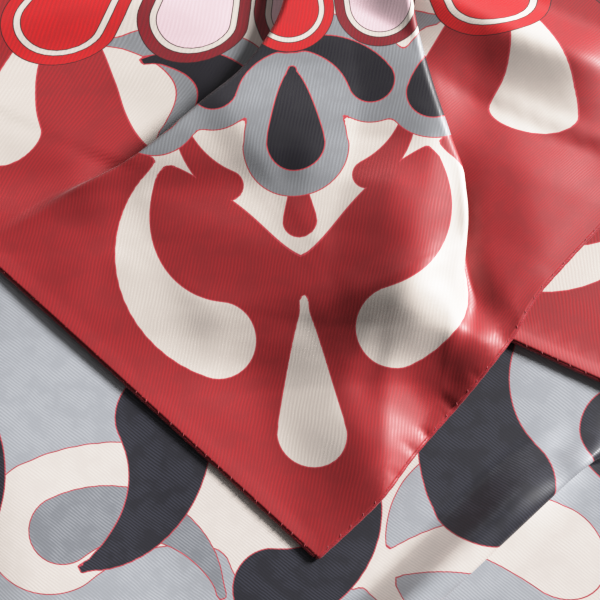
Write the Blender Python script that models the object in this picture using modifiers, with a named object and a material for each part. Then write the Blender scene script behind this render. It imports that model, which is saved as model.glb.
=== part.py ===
"""A silk twill square, 90 cm by 90 cm with rolled hems, folded and laid flat.

The square lies on its diagonal, reverse side up. Its right corner is turned in, face up.
Its far corner is then brought forward over a soft roll, face up, and this corner flap has
one soft box pleat, whose middle panel lies over both side panels and fans out to nothing.

Lengths are metres. While the pieces are drawn, the flap's tip is (0, 0), +Y runs away from it
along the diagonal, and the cloth lies on z = 0. At the end all is moved to the outline's middle.
"""

import math
from collections import namedtuple

import bmesh
import bpy
from mathutils import Vector

# The square and how it is folded
SIDE = 0.900                      # hem to hem
DIAGONAL = SIDE * math.sqrt(2)
FLAP_DEPTH = 0.430                # flap tip to the rear fold
NEAR_CORNER = Vector((0, 2 * FLAP_DEPTH - DIAGONAL))
TURN_START = NEAR_CORNER + Vector((0.3434, 0.3434))   # on the near right hem
TURN_END = Vector((0.268, FLAP_DEPTH))                # on the rear fold
TURN_HEM = Vector((-0.884, 0.467)).normalized()       # the turned corner's near hem
OUTLINE_MIDDLE = Vector((-0.14475, 0.01194))            # the laid outline's middle, the part's origin

# Cloth, hems and the gaps between layers
WALL = 0.0012
GAP = 0.0003
HEM_RADIUS = 0.0011
HEM_INSET = 2 * HEM_RADIUS + GAP   # a panel's edge lies this far inside the outline
HEM_STOP = 0.006                   # a hem stops this far before a fold
LOWER_LEVEL = WALL / 2             # heights of the walls' middles
TURN_LEVEL = LOWER_LEVEL + WALL + GAP
FLAP_LEVEL = WALL + GAP + HEM_RADIUS
FLAP_RISE = 0.0010                 # the flap lifts this much inside its hems
FLAP_RISE_REACH = 0.035
HEM_LIFT = 0.8                     # share of a ridge's height that the flap's hem keeps
HEM_LIFT_REACH = 0.012
TURN_LIFT = 0.0025                 # the flap's lift where it lies on the turned corner
TURN_LIFT_FROM, TURN_LIFT_TO = 0.030, 0.004   # it starts and ends this far before that corner's hem
TRIM_LIFT = 0.0026                 # its lift at its right edge, which is folded under
TRIM_LIFT_REACH = 0.060
REAR_ROLL = 0.0048                 # radii of the soft folds
SIDE_ROLL = 0.0024
TRIM_ROLL = 0.0016
TRIM_LIP = math.pi * TRIM_ROLL + 0.002   # cloth folded under at the flap's right edge
TRIM_LIP_END = 0.050               # it narrows to nothing this far from the rear fold,
TRIM_LIP_FADE = 0.030              # over this length
REAR_RISE_FROM = 0.300             # the flap rises from here
REAR_RISE_TO = FLAP_DEPTH - 0.020  # to the rear fold's height here
SIDE_RISE_WIDTH = 0.040            # the turned corner rises to its side fold over this width

# The box pleat: its two fold edges, row by row from the tip to beyond the pinch.
# turn is how far the cloth folds back at the edge, in degrees, and under how far it goes under.
PleatRow = namedtuple("PleatRow", "y left_x left_turn left_under right_x right_turn right_under")
PLEAT_ROWS = [
    PleatRow(0.000, -0.150, 0, 0.000, 0.046, 0, 0.000),
    PleatRow(0.060, -0.140, 0, 0.000, 0.048, 0, 0.000),
    PleatRow(0.080, -0.130, 0, 0.000, 0.051, 35, 0.000),
    PleatRow(0.094, -0.124, 0, 0.000, 0.0546, 85, 0.001),
    PleatRow(0.115, -0.114, 0, 0.000, 0.0586, 135, 0.004),
    PleatRow(0.1334, -0.0843, 30, 0.000, 0.0590, 172, 0.008),
    PleatRow(0.1475, -0.0562, 110, 0.001, 0.0555, 180, 0.012),
    PleatRow(0.165, -0.0336, 165, 0.006, 0.0510, 180, 0.015),
    PleatRow(0.1769, -0.0186, 180, 0.010, 0.0485, 180, 0.015),
    PleatRow(0.1942, -0.0051, 180, 0.013, 0.0455, 180, 0.014),
    PleatRow(0.215, 0.0010, 180, 0.012, 0.0440, 180, 0.012),
    PleatRow(0.245, 0.0015, 175, 0.010, 0.0480, 175, 0.010),
    PleatRow(0.285, -0.0060, 120, 0.004, 0.0600, 120, 0.004),
    PleatRow(0.330, -0.0200, 0, 0.000, 0.0780, 0, 0.000),
    PleatRow(0.430, -0.0400, 0, 0.000, 0.1000, 0, 0.000),
]
PLEAT_BEND = math.pi * 0.0021      # cloth used by one bend of the pleat

# Soft ridges of the flap, or hollows where the height is below zero. A ridge falls away over its
# left and right widths, as seen along its line, and crest is how round its top is.
Ridge = namedtuple("Ridge", "name height left right crest line")
FLAP_RIDGES = [
    Ridge("ridge down to the tip", 0.0050, 0.042, 0.023, 0.006,
          [(-0.006, -0.030), (0.010, 0.020), (0.023, 0.049), (0.028, 0.074)]),
    Ridge("ridge up to the pinch", 0.0046, 0.070, 0.028, 0.008,
          [(0.028, 0.070), (0.036, 0.104), (0.048, 0.141), (0.050, 0.180), (0.042, 0.215)]),
    Ridge("ridge out to the right hem", 0.0070, 0.080, 0.033, 0.006,
          [(0.044, 0.095), (0.068, 0.0725), (0.104, 0.040)]),
    Ridge("ridge beside the fold", 0.0040, 0.020, 0.100, 0.006,
          [(0.100, 0.030), (0.081, 0.080), (0.070, 0.107), (0.063, 0.140), (0.059, 0.172)]),
    Ridge("hollow in the right panel", -0.0020, 0.014, 0.020, 0.006,
          [(0.040, 0.177), (0.084, 0.150), (0.112, 0.138)]),
    Ridge("ridge behind that hollow", 0.0030, 0.018, 0.026, 0.008,
          [(0.046, 0.216), (0.070, 0.197), (0.104, 0.180)]),
    Ridge("ridge in the left panel", 0.0030, 0.026, 0.036, 0.010,
          [(-0.096, 0.122), (-0.036, 0.124), (-0.012, 0.142)]),
    Ridge("slope of the left panel", 0.0035, 0.048, 0.048, 0.016,
          [(-0.100, 0.205), (-0.095, 0.125)]),
    Ridge("swell behind the pinch", 0.0040, 0.075, 0.075, 0.024,
          [(-0.200, 0.330), (0.150, 0.328)]),
]
RIDGE_END = 0.25                   # share of a ridge's length in which it fades out
RIDGE_EASE = 1.5                   # how hollow its slopes are

# The knife ridge in the lower cloth, along the near right hem
RIDGE_EDGE = 0.2466                # distance of its overhanging edge from that hem
RIDGE_VALLEY = 0.2605              # where its slope starts
RIDGE_UNDER = 0.003
RIDGE_BEND = math.pi * 0.0012
RIDGE_FROM, RIDGE_TO = 0.190, 0.402   # along the hem, from the near corner
RIDGE_FADE_IN, RIDGE_FADE_OUT = 0.060, 0.036
EASE_REACH = 0.070                 # how soon the cloth beside it is back in place
PAST_ANY_FOLD = 1.0                # a length that has all of a fold behind it
PINCH_ROOM = 0.004                 # the least room for cloth that a fold takes in

TWILL_RED = (0.52, 0.035, 0.045, 1)
TWILL_GREY = (0.42, 0.43, 0.46, 1)
HEM_RED = (0.42, 0.025, 0.035, 1)
TWILL_ROUGHNESS = 0.42


# Small helpers -------------------------------------------------------------------------------

def smooth(t):
    t = min(max(t, 0.0), 1.0)
    return t * t * (3 - 2 * t)


def reading(rows, column, y):
    """A smooth reading of one column of a table, at y."""
    y = min(max(y, rows[0].y), rows[-1].y)
    k = max(i for i in range(len(rows) - 1) if rows[i].y <= y)
    before, low, high, after = (rows[max(i, 0)] if i < len(rows) else rows[-1] for i in (k - 1, k, k + 1, k + 2))
    span = high.y - low.y

    def slope(a, b):
        return (getattr(b, column) - getattr(a, column)) / (b.y - a.y) if b.y > a.y else 0.0

    middle = slope(low, high)
    start, end = (s if s * middle > 0 else 0.0 for s in (slope(before, high), slope(low, after)))
    t = (y - low.y) / span
    ease = t * t * (3 - 2 * t)
    return (getattr(low, column) * (1 - ease) + getattr(high, column) * ease
            + span * (start * t * (1 - t) ** 2 - end * t * t * (1 - t)))


def fold_section(c, turn, bend, under):
    """How far along and down the cloth is, c past the start of a fold that turns back and again forward."""
    if c <= 0:
        return c, 0.0
    if turn < 0.01:
        return c, 0.0
    radius = bend / turn
    angle = turn * min(c / bend, 1)
    along, drop = radius * math.sin(angle), radius * (1 - math.cos(angle))
    straight = min(max(c - bend, 0), under)
    along += straight * math.cos(turn)
    drop += straight * math.sin(turn)
    left = turn * (1 - min(max(c - bend - under, 0) / bend, 1))
    along += radius * (math.sin(turn) - math.sin(left))
    drop += radius * (math.cos(left) - math.cos(turn))
    return along + max(c - 2 * bend - under, 0), drop


def curl(c, radius):
    """How far out and down the cloth is, c past the start of a half-round roll."""
    angle = min(c / radius, math.pi)
    return radius * math.sin(angle) - max(c - math.pi * radius, 0), radius * (1 - math.cos(angle))


def grid(columns, rows):
    """A flat grid with lines at these x and y."""
    bm = bmesh.new()
    bmesh.ops.create_grid(bm, x_segments=len(columns) - 1, y_segments=len(rows) - 1, size=0.5)
    for v in bm.verts:
        i = round((v.co.x + 0.5) * (len(columns) - 1))
        j = round((v.co.y + 0.5) * (len(rows) - 1))
        v.co = (columns[i], rows[j], 0)
    return bm


def spread(low, high, count):
    return [low + (high - low) * i / count for i in range(count + 1)]


def trim(bm, point, outward):
    """Cuts off what lies beyond a line through point."""
    geometry = bm.verts[:] + bm.edges[:] + bm.faces[:]
    bmesh.ops.bisect_plane(bm, geom=geometry, dist=1e-6, plane_co=(*point, 0),
                           plane_no=(*outward, 0), clear_outer=True)


def tidy(bm):
    """Melts the slivers that the cuts left."""
    bmesh.ops.remove_doubles(bm, verts=bm.verts, dist=0.0004)
    bmesh.ops.dissolve_degenerate(bm, dist=0.0002, edges=bm.edges)


def material(name, colour, roughness):
    made = bpy.data.materials.new(name)
    made.use_nodes = True
    shader = made.node_tree.nodes["Principled BSDF"]
    shader.inputs["Base Color"].default_value = colour
    shader.inputs["Roughness"].default_value = roughness
    shader.inputs["Metallic"].default_value = 0.0
    return made


def place(name, data, finish):
    piece = bpy.data.objects.new(name, data)
    piece.data.materials.append(finish)
    scarf.objects.link(piece)
    piece.parent = origin
    return piece


def cloth_panel(name, bm, finish):
    bmesh.ops.triangulate(bm, faces=[f for f in bm.faces if len(f.verts) > 4])
    bmesh.ops.recalc_face_normals(bm, faces=bm.faces)
    mesh = bpy.data.meshes.new(name)
    bm.to_mesh(mesh)
    bm.free()
    mesh.shade_smooth()
    piece = place(name, mesh, finish)
    wall = piece.modifiers.new("wall", "SOLIDIFY")
    wall.thickness = WALL
    wall.offset = 0
    wall.use_even_offset = False
    return piece


def hem(name, points, finish, radius=HEM_RADIUS):
    """A rolled hem: a thin tube along points."""
    curve = bpy.data.curves.new(name, "CURVE")
    curve.dimensions = "3D"
    curve.bevel_depth = radius
    curve.bevel_resolution = 2
    curve.use_fill_caps = True
    spline = curve.splines.new("POLY")
    spline.points.add(len(points) - 1)
    for point, co in zip(spline.points, points):
        point.co = (*co, 1)
    return place(name, curve, finish)


# Places on the folded square -------------------------------------------------------------------

RIGHT_HEM = Vector((1, 1)).normalized()     # from the flap's tip, and from the near corner
LEFT_HEM = Vector((-1, 1)).normalized()
SIDE_FOLD = (TURN_END - TURN_START).normalized()
SIDE_FOLD_IN = Vector((-SIDE_FOLD.y, SIDE_FOLD.x))
TRIM_FOLD = Vector((SIDE_FOLD.x, -SIDE_FOLD.y))          # the side fold again, brought forward with the flap
TRIM_FOLD_OUT = Vector((-TRIM_FOLD.y, TRIM_FOLD.x))
TURN_HEM_OUT = Vector((-TURN_HEM.y, TURN_HEM.x))
REAR_LEVEL = LOWER_LEVEL + 2 * REAR_ROLL


def pleat_at(y, side):
    """Edge x, turn and under of the left or right fold at y."""
    return (reading(PLEAT_ROWS, side + "_x", y),
            math.radians(reading(PLEAT_ROWS, side + "_turn", y)),
            reading(PLEAT_ROWS, side + "_under", y))


def turned_level(p):
    """Height of the turned corner's middle at p: it rises to its side fold."""
    inside = (p - TURN_START).dot(SIDE_FOLD_IN)
    rise = LOWER_LEVEL + 2 * SIDE_ROLL - TURN_LEVEL
    return TURN_LEVEL + rise * (1 - smooth(inside / SIDE_RISE_WIDTH))


def ridge_height(ridge, p):
    """Height of one ridge at p, read at the nearest place on its line."""
    stretches = list(zip(ridge.line, ridge.line[1:]))
    length = sum((Vector(end) - Vector(start)).length for start, end in stretches)
    nearest, share, passed = math.inf, 0.0, 0.0
    for start, end in stretches:
        run = Vector(end) - Vector(start)
        offset = p - Vector(start)
        t = min(max(offset.dot(run) / run.length_squared, 0), 1)
        off = (offset - run * t).length
        if off < nearest:
            nearest, share = off, (passed + t * run.length) / length
            width = ridge.left if run.cross(offset) > 0 else ridge.right
        passed += run.length
    ends = smooth(share / RIDGE_END) * smooth((1 - share) / RIDGE_END)
    fallen = (math.hypot(nearest, ridge.crest) - ridge.crest) / width
    return ridge.height * ends * max(1 - fallen, 0) ** RIDGE_EASE


def flap_level(p):
    """Height of the flap's middle at p, without its pleat."""
    from_hem = min(p.dot(LEFT_HEM), p.dot(RIGHT_HEM))
    from_trim = -(p - TURN_END).dot(TRIM_FOLD_OUT)
    before_turned_hem = (p - TURN_START).dot(TURN_HEM_OUT)
    relief = sum(ridge_height(ridge, p) for ridge in FLAP_RIDGES)
    inside = smooth(from_hem / HEM_LIFT_REACH)
    level = FLAP_LEVEL + FLAP_RISE * smooth(from_hem / FLAP_RISE_REACH)
    level += TURN_LIFT * smooth((TURN_LIFT_FROM - before_turned_hem) / (TURN_LIFT_FROM - TURN_LIFT_TO))
    level += TRIM_LIFT * (1 - smooth(from_trim / TRIM_LIFT_REACH))
    level += relief * inside + HEM_LIFT * max(relief, 0) * (1 - inside)
    rear = smooth((p.y - REAR_RISE_FROM) / (REAR_RISE_TO - REAR_RISE_FROM))
    return level + (REAR_LEVEL - level) * rear


def pleated(p):
    """Where the flat flap's point p goes, with the pleat folded in."""
    left_x, left_turn, left_under = pleat_at(p.y, "left")
    right_x, right_turn, right_under = pleat_at(p.y, "right")
    left_raise = fold_section(PAST_ANY_FOLD, left_turn, PLEAT_BEND, left_under)[1]
    right_raise = fold_section(PAST_ANY_FOLD, right_turn, PLEAT_BEND, right_under)[1]
    x, z = p.x, 0.0
    across = smooth((p.x - left_x) / (right_x - left_x))
    centre_raise = left_raise * (1 - across) + right_raise * across
    for edge, turn, under, out, hem_x in ((left_x, left_turn, left_under, -1, -p.y),
                                          (right_x, right_turn, right_under, 1, p.y)):
        start = edge - out * PLEAT_BEND / math.pi
        c = (p.x - start) * out
        if c <= 0:
            continue
        along, drop = fold_section(c, turn, PLEAT_BEND, under)
        zone = 2 * PLEAT_BEND + under
        taken_in = zone - fold_section(zone, turn, PLEAT_BEND, under)[0]
        room = max((hem_x - start) * out - zone, PINCH_ROOM)
        x = start + out * (along + taken_in * smooth(max(c - zone, 0) / room))
        z = -drop
    return Vector((x, p.y)), centre_raise + z


# The pieces ------------------------------------------------------------------------------------

def flap_column(station, y):
    """x of one grid line at y. Stations run from 0 at the far left to 6 at the trimmed right edge."""
    left_x, _, left_under = pleat_at(y, "left")
    right_x, _, right_under = pleat_at(y, "right")
    radius = PLEAT_BEND / math.pi
    stops = [-0.450, left_x + radius - 2 * PLEAT_BEND - left_under, left_x + radius,
             right_x - radius, right_x - radius + 2 * PLEAT_BEND + right_under]
    trim_x = TURN_END.x + (y - FLAP_DEPTH) * TRIM_FOLD.x / TRIM_FOLD.y
    lip = TRIM_LIP * (1 - smooth((y - FLAP_DEPTH + TRIM_LIP_END) / TRIM_LIP_FADE))
    stops += [trim_x, trim_x + lip / TRIM_FOLD_OUT.x]
    k = min(int(station), len(stops) - 2)
    return stops[k] + (stops[k + 1] - stops[k]) * (station - k)


def corner_flap(finish):
    stations = ([0.0, 0.2, 0.38, 0.54, 0.68, 0.79, 0.88, 0.95]
                + [1 + s for s in (0, 0.11, 0.22, 0.33, 0.44, 0.56, 0.67, 0.78, 0.89)]
                + [2.0, 2.08, 2.22, 2.4, 2.6, 2.78, 2.92]
                + [3 + s for s in (0, 0.11, 0.22, 0.33, 0.44, 0.56, 0.67, 0.78, 0.89)]
                + [4.0, 4.07, 4.16, 4.28, 4.45, 4.7, 5.0, 5.2, 5.4, 5.6, 5.8, 6.0])
    rows = (spread(0, 0.060, 5) + spread(0.070, 0.250, 18) + [0.270, 0.290, 0.310, 0.330, 0.355, 0.370,
            0.380, 0.388, 0.396, 0.404, 0.412, 0.420]
            + [FLAP_DEPTH + s * math.pi * REAR_ROLL for s in spread(0, 1, 5)])
    bm = grid(stations, rows)
    for v in bm.verts:
        v.co.x = flap_column(v.co.x, min(v.co.y, FLAP_DEPTH))
    trim(bm, LEFT_HEM * HEM_INSET, -LEFT_HEM)
    trim(bm, RIGHT_HEM * HEM_INSET, -RIGHT_HEM)
    for v in bm.verts:
        if v.co.y > FLAP_DEPTH:   # the rear roll's end is square
            v.co.x = max(v.co.x, math.sqrt(2) * HEM_INSET - FLAP_DEPTH)
    tidy(bm)
    for v in bm.verts:
        flat = Vector((v.co.x, min(v.co.y, FLAP_DEPTH)))
        over_rear = max(v.co.y - FLAP_DEPTH, 0)
        over_trim = max((flat - TURN_END).dot(TRIM_FOLD_OUT), 0)
        flat -= TRIM_FOLD_OUT * over_trim
        place_at, raised = pleated(flat)
        level = flap_level(place_at) + raised
        if over_trim > 0:
            out, down = curl(over_trim, TRIM_ROLL)
            place_at += TRIM_FOLD_OUT * out
            level -= down
        back, down = curl(over_rear, REAR_ROLL)
        radius_here = (level - LOWER_LEVEL) / (2 * REAR_ROLL)
        v.co = (place_at.x, place_at.y + back, level - down * radius_here)
    return cloth_panel("corner_flap", bm, finish)


def lower_cloth(finish):
    """The lower cloth's grid runs along its hems: x of the grid along the near right hem, y across."""
    zone = 2 * RIDGE_BEND + RIDGE_UNDER
    start = RIDGE_EDGE + RIDGE_BEND / math.pi
    along = spread(0, 0.150, 3) + spread(RIDGE_FROM, RIDGE_TO, 12) + spread(0.450, SIDE, 7)
    across = (spread(0, start - zone - EASE_REACH, 3) + [start - zone - 0.040, start - zone - 0.016]
              + [start - zone * (1 - s) for s in spread(0, 1, 8)]
              + [start + (RIDGE_VALLEY - start) * s for s in (0.3, 0.6, 0.85, 1.1)]
              + spread(RIDGE_VALLEY + 0.030, SIDE, 8))
    bm = grid(along, across)
    for v in bm.verts:
        a, b = v.co.x, v.co.y
        fade = smooth((a - RIDGE_FROM) / RIDGE_FADE_IN) * smooth((RIDGE_TO - a) / RIDGE_FADE_OUT)
        turn = math.pi * fade
        c = start - b
        step, drop = fold_section(c, turn, RIDGE_BEND, RIDGE_UNDER * fade)
        taken_in = zone - fold_section(zone, turn, RIDGE_BEND, RIDGE_UNDER * fade)[0]
        crest = fold_section(zone, turn, RIDGE_BEND, RIDGE_UNDER * fade)[1]
        rise = crest * smooth((RIDGE_VALLEY - b) / (RIDGE_VALLEY - start)) - drop
        if c > 0:
            b = start - step - taken_in * smooth((c - zone) / EASE_REACH)
        v.co = (*(NEAR_CORNER + RIGHT_HEM * a + LEFT_HEM * b), LOWER_LEVEL + rise)
    for corner, outward in ((NEAR_CORNER, -RIGHT_HEM), (NEAR_CORNER, -LEFT_HEM),
                            (NEAR_CORNER + LEFT_HEM * SIDE, LEFT_HEM)):
        trim(bm, corner - outward * HEM_INSET, outward)
    trim(bm, TURN_START + SIDE_FOLD_IN * GAP, -SIDE_FOLD_IN)
    trim(bm, Vector((0, FLAP_DEPTH - GAP)), Vector((0, 1)))
    tidy(bm)
    return cloth_panel("lower_cloth", bm, finish)


def right_turn(finish):
    """The turned corner: x of the grid runs in from the side fold, y along it."""
    roll = math.pi * SIDE_ROLL
    inward = [-roll * (1 - s) for s in spread(0, 1, 5)] + [0.008, 0.016, 0.026, 0.040] + spread(0.070, 0.400, 7)
    bm = grid(inward, spread(0, 0.530, 11))
    for v in bm.verts:
        v.co = (*(TURN_START + SIDE_FOLD_IN * v.co.x + SIDE_FOLD * v.co.y), 0)
    trim(bm, TURN_START - TURN_HEM_OUT * HEM_INSET, TURN_HEM_OUT)
    trim(bm, TURN_START + SIDE_FOLD * HEM_INSET, -SIDE_FOLD)
    hidden_tip = TURN_START + TURN_HEM * (SIDE - (TURN_START - NEAR_CORNER).length)
    trim(bm, hidden_tip - TURN_HEM * HEM_INSET, TURN_HEM)
    trim(bm, Vector((0, FLAP_DEPTH - 0.006)), Vector((0, 1)))
    tidy(bm)
    for v in bm.verts:
        p = v.co.to_2d()
        over = max(-(p - TURN_START).dot(SIDE_FOLD_IN), 0)
        out, down = curl(over, SIDE_ROLL)
        p += SIDE_FOLD_IN * (over - out)
        v.co = (*p, turned_level(p + SIDE_FOLD_IN * out) - down)
    return cloth_panel("right_turn", bm, finish)


def flap_hem_points(along, inward, distances):
    points = []
    for distance in distances:
        p = along * distance + inward * HEM_RADIUS
        points.append((p.x, p.y, flap_level(p)))
    return points


def floor_hem_points(corner, along, inward, distances):
    return [(*(corner + along * d + inward * HEM_RADIUS), HEM_RADIUS) for d in distances]


def round_hem_points(centre, out, radius, top, angles):
    """A hem's points round a soft fold, from its top at angle 0 down to the floor."""
    points = []
    for angle in angles:
        p = centre + out * radius * math.sin(angle)
        points.append((p.x, p.y, top - (top - HEM_RADIUS) / 2 * (1 - math.cos(angle))))
    return points


def hems(finish):
    """Each tube ends where the next hem, or the fold that hides it, begins."""
    right_run = TURN_END.dot(TRIM_FOLD_OUT) / RIGHT_HEM.dot(TRIM_FOLD_OUT)
    hem("hem_flap_right", flap_hem_points(RIGHT_HEM, LEFT_HEM, spread(0, right_run - HEM_STOP, 22)), finish)

    left_run = FLAP_DEPTH * math.sqrt(2)
    flap_left = flap_hem_points(LEFT_HEM, RIGHT_HEM, spread(HEM_INSET, left_run - HEM_STOP, 26))
    rear_corner = LEFT_HEM * left_run
    round_rear = round_hem_points(rear_corner + RIGHT_HEM * HEM_RADIUS, Vector((0, 1)), REAR_ROLL,
                                  REAR_LEVEL, spread(0, math.pi, 6))
    floor_left = floor_hem_points(rear_corner, -RIGHT_HEM, -LEFT_HEM, spread(HEM_STOP, SIDE - left_run, 3))
    hem("hem_upper_left", flap_left + round_rear + floor_left, finish)

    left_distances = spread(0, SIDE - HEM_INSET, 4)
    hem("hem_lower_left", floor_hem_points(NEAR_CORNER, LEFT_HEM, RIGHT_HEM, left_distances), finish)
    right_distances = spread(HEM_INSET, (TURN_START - NEAR_CORNER).length - HEM_STOP, 3)
    hem("hem_lower_right", floor_hem_points(NEAR_CORNER, RIGHT_HEM, LEFT_HEM, right_distances), finish)

    round_side = round_hem_points(TURN_START + SIDE_FOLD * HEM_RADIUS, -SIDE_FOLD_IN, SIDE_ROLL,
                                  LOWER_LEVEL + 2 * SIDE_ROLL, spread(math.pi, 0, 5))
    turned = []
    for distance in (0.012, 0.025, 0.040, 0.055, 0.100, 0.180, 0.260, 0.340, 0.370):
        p = TURN_START + TURN_HEM * distance - TURN_HEM_OUT * HEM_RADIUS
        turned.append((p.x, p.y, turned_level(p) + HEM_RADIUS - WALL / 2))
    hem("hem_right_turn", round_side + turned, finish)


for leftover in list(bpy.data.objects):
    bpy.data.objects.remove(leftover)
scarf = bpy.data.collections.new("silk_square_scarf")
bpy.context.scene.collection.children.link(scarf)
origin = bpy.data.objects.new("outline_middle", None)
scarf.objects.link(origin)
origin.location = (*-OUTLINE_MIDDLE, 0)

face = material("silk_face", TWILL_RED, TWILL_ROUGHNESS)
reverse = material("silk_reverse", TWILL_GREY, TWILL_ROUGHNESS)
hem_silk = material("silk_hem", HEM_RED, TWILL_ROUGHNESS)
lower_cloth(reverse)
right_turn(face)
corner_flap(face)
hems(hem_silk)
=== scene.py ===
# %% [markdown]
# # A silk square, folded and laid flat
# The scarf is one square of printed silk twill, 90 cm from hem to hem. It lies on its diagonal,
# reverse side up. One corner is turned in, and the far corner is brought forward over a soft roll,
# so that its printed face shows. This lesson gives that folded cloth its looks: the fine folds,
# the print, the weave, the rolled hems and their stitches.

# %% Load the frame
import math
from collections import namedtuple

import bmesh
import bpy
import numpy as np
from mathutils import Matrix, Vector


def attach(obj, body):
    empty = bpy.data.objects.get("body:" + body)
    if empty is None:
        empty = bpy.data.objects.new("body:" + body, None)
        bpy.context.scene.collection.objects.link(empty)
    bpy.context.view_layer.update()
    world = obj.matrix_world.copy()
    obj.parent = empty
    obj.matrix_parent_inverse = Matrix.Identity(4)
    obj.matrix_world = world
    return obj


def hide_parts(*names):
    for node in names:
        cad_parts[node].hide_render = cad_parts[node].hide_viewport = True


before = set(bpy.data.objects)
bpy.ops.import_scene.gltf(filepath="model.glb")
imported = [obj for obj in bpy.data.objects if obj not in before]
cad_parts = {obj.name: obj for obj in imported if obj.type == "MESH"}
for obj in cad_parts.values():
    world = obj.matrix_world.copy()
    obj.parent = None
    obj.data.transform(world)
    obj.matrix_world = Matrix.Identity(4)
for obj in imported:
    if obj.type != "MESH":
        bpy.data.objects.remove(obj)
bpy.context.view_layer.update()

# %% [markdown]
# ## Where things lie
# All the folding is worked out in the square's own drawing frame: the tip of the upper corner
# is (0, 0), +Y runs away from it along the diagonal, and the table is z = 0. One constant moves
# the finished pieces to the middle of the laid outline. That way each formula stays as short
# as the fold that it describes.

# %% The square and how it is folded
MM = 0.001
SIDE = 0.900
DIAGONAL = SIDE * math.sqrt(2)
FLAP_DEPTH = 0.430
NEAR_CORNER = np.array([0, 2 * FLAP_DEPTH - DIAGONAL])
TURN_START = NEAR_CORNER + 0.3434
TURN_END = np.array([0.268, FLAP_DEPTH])
OUTLINE_MIDDLE = np.array([-0.14475, 0.01194, 0])


def direction(x, y):
    """The unit vector that points along x, y."""
    return np.array([x, y]) / math.hypot(x, y)


def quarter_turn(v):
    """A vector turned to the left by 90 degrees."""
    return np.array([-v[1], v[0]])


RIGHT_HEM = direction(1, 1)
LEFT_HEM = direction(-1, 1)
SIDE_FOLD = direction(*(TURN_END - TURN_START))
SIDE_FOLD_IN = quarter_turn(SIDE_FOLD)
TURN_HEM = direction(-0.884, 0.467)
TURN_HEM_OUT = quarter_turn(TURN_HEM)
TRIM_FOLD = np.array([SIDE_FOLD[0], -SIDE_FOLD[1]])
TRIM_FOLD_OUT = quarter_turn(TRIM_FOLD)
print("near corner", NEAR_CORNER.round(4), "side fold", TURN_START.round(4), "to", TURN_END)

# %% [markdown]
# ## The camera
# The camera looks almost straight down on the tip of the upper corner, with the diagonal
# leaning a little to the left of upright. A long lens keeps the cloth free of distortion. A
# Track To constraint could aim it, but a direction turned into a rotation needs no target.

# %% Aim the camera
LEAN = math.radians(2.95)
ELEVATION = math.radians(79)
CAMERA_DISTANCE = 0.600
LENS = 100
SENSOR = 36
LOOKED_AT = (-0.0013, 0.0931, 0.0)   # 93 mm in from the flap's tip
looked_at = Vector(LOOKED_AT) - Vector(OUTLINE_MIDDLE)
level_ahead = Vector((math.sin(LEAN), math.cos(LEAN), 0))
ahead = level_ahead * math.cos(ELEVATION) - Vector((0, 0, math.sin(ELEVATION)))
camera = bpy.data.objects.new("camera", bpy.data.cameras.new("camera"))
camera.data.lens = LENS
camera.data.sensor_width = SENSOR
camera.data.clip_start = 0.01
camera.location = looked_at - ahead * CAMERA_DISTANCE
camera.rotation_euler = ahead.to_track_quat("-Z", "Y").to_euler()
bpy.context.scene.collection.objects.link(camera)
bpy.context.scene.camera = camera
print("the view is", round(CAMERA_DISTANCE * SENSOR / LENS * 1000), "mm across")

# %% [markdown]
# ## Folding by formula
# A fold in cloth is a round bend, a straight stretch that goes under, and a second bend that
# brings the cloth forward again. Its cross-section is known exactly, so the folds are formulas
# that move the points of flat grids, for thousands of points at once with numpy. A simulation
# would find such folds too, but it wouldn't put their edges where a hand has laid them.


# %% Smooth steps, bumps and readings of a table
FAR = 1.0   # further off than any point of the cloth


def spread(low, high, count):
    """Evenly spaced numbers from low to high, in count steps."""
    return [low + (high - low) * i / count for i in range(count + 1)]


def in_stretches(stops, counts):
    """Numbers from the first stop to the last, with a count of steps for each stretch between."""
    numbers = []
    for low, high, count in zip(stops, stops[1:], counts):
        numbers = numbers[:-1] + spread(low, high, count)
    return numbers


def smooth(t):
    """A step from 0 to 1 that starts and ends gently."""
    t = np.clip(t, 0, 1)
    return t * t * (3 - 2 * t)


def bump_at(distance, half_width):
    """A round bump of height 1."""
    return np.exp(-(distance / half_width) ** 2)


def reading(rows, column, y):
    """A smooth reading of one column of a table, at every y."""
    stops = np.array([row.y for row in rows])
    values = np.array([getattr(row, column) for row in rows])
    y = np.clip(y, stops[0], stops[-1])
    k = np.clip(np.searchsorted(stops, y, side="right") - 1, 0, len(stops) - 2)
    before, after = np.maximum(k - 1, 0), np.minimum(k + 2, len(stops) - 1)
    span = stops[k + 1] - stops[k]
    middle = (values[k + 1] - values[k]) / span
    start = (values[k + 1] - values[before]) / (stops[k + 1] - stops[before])
    end = (values[after] - values[k]) / (stops[after] - stops[k])
    start = np.where(start * middle > 0, start, 0)
    end = np.where(end * middle > 0, end, 0)
    t = (y - stops[k]) / span
    eased = values[k] * (1 - smooth(t)) + values[k + 1] * smooth(t)
    return eased + span * (start * t * (1 - t) ** 2 - end * t * t * (1 - t))


print("half way, a smooth step is at", smooth(0.5), "and a quarter of the way at", smooth(0.25))


# %% The sections of a fold and of a roll
LEAST_TURN = 0.01   # radians, below which cloth counts as flat


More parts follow.
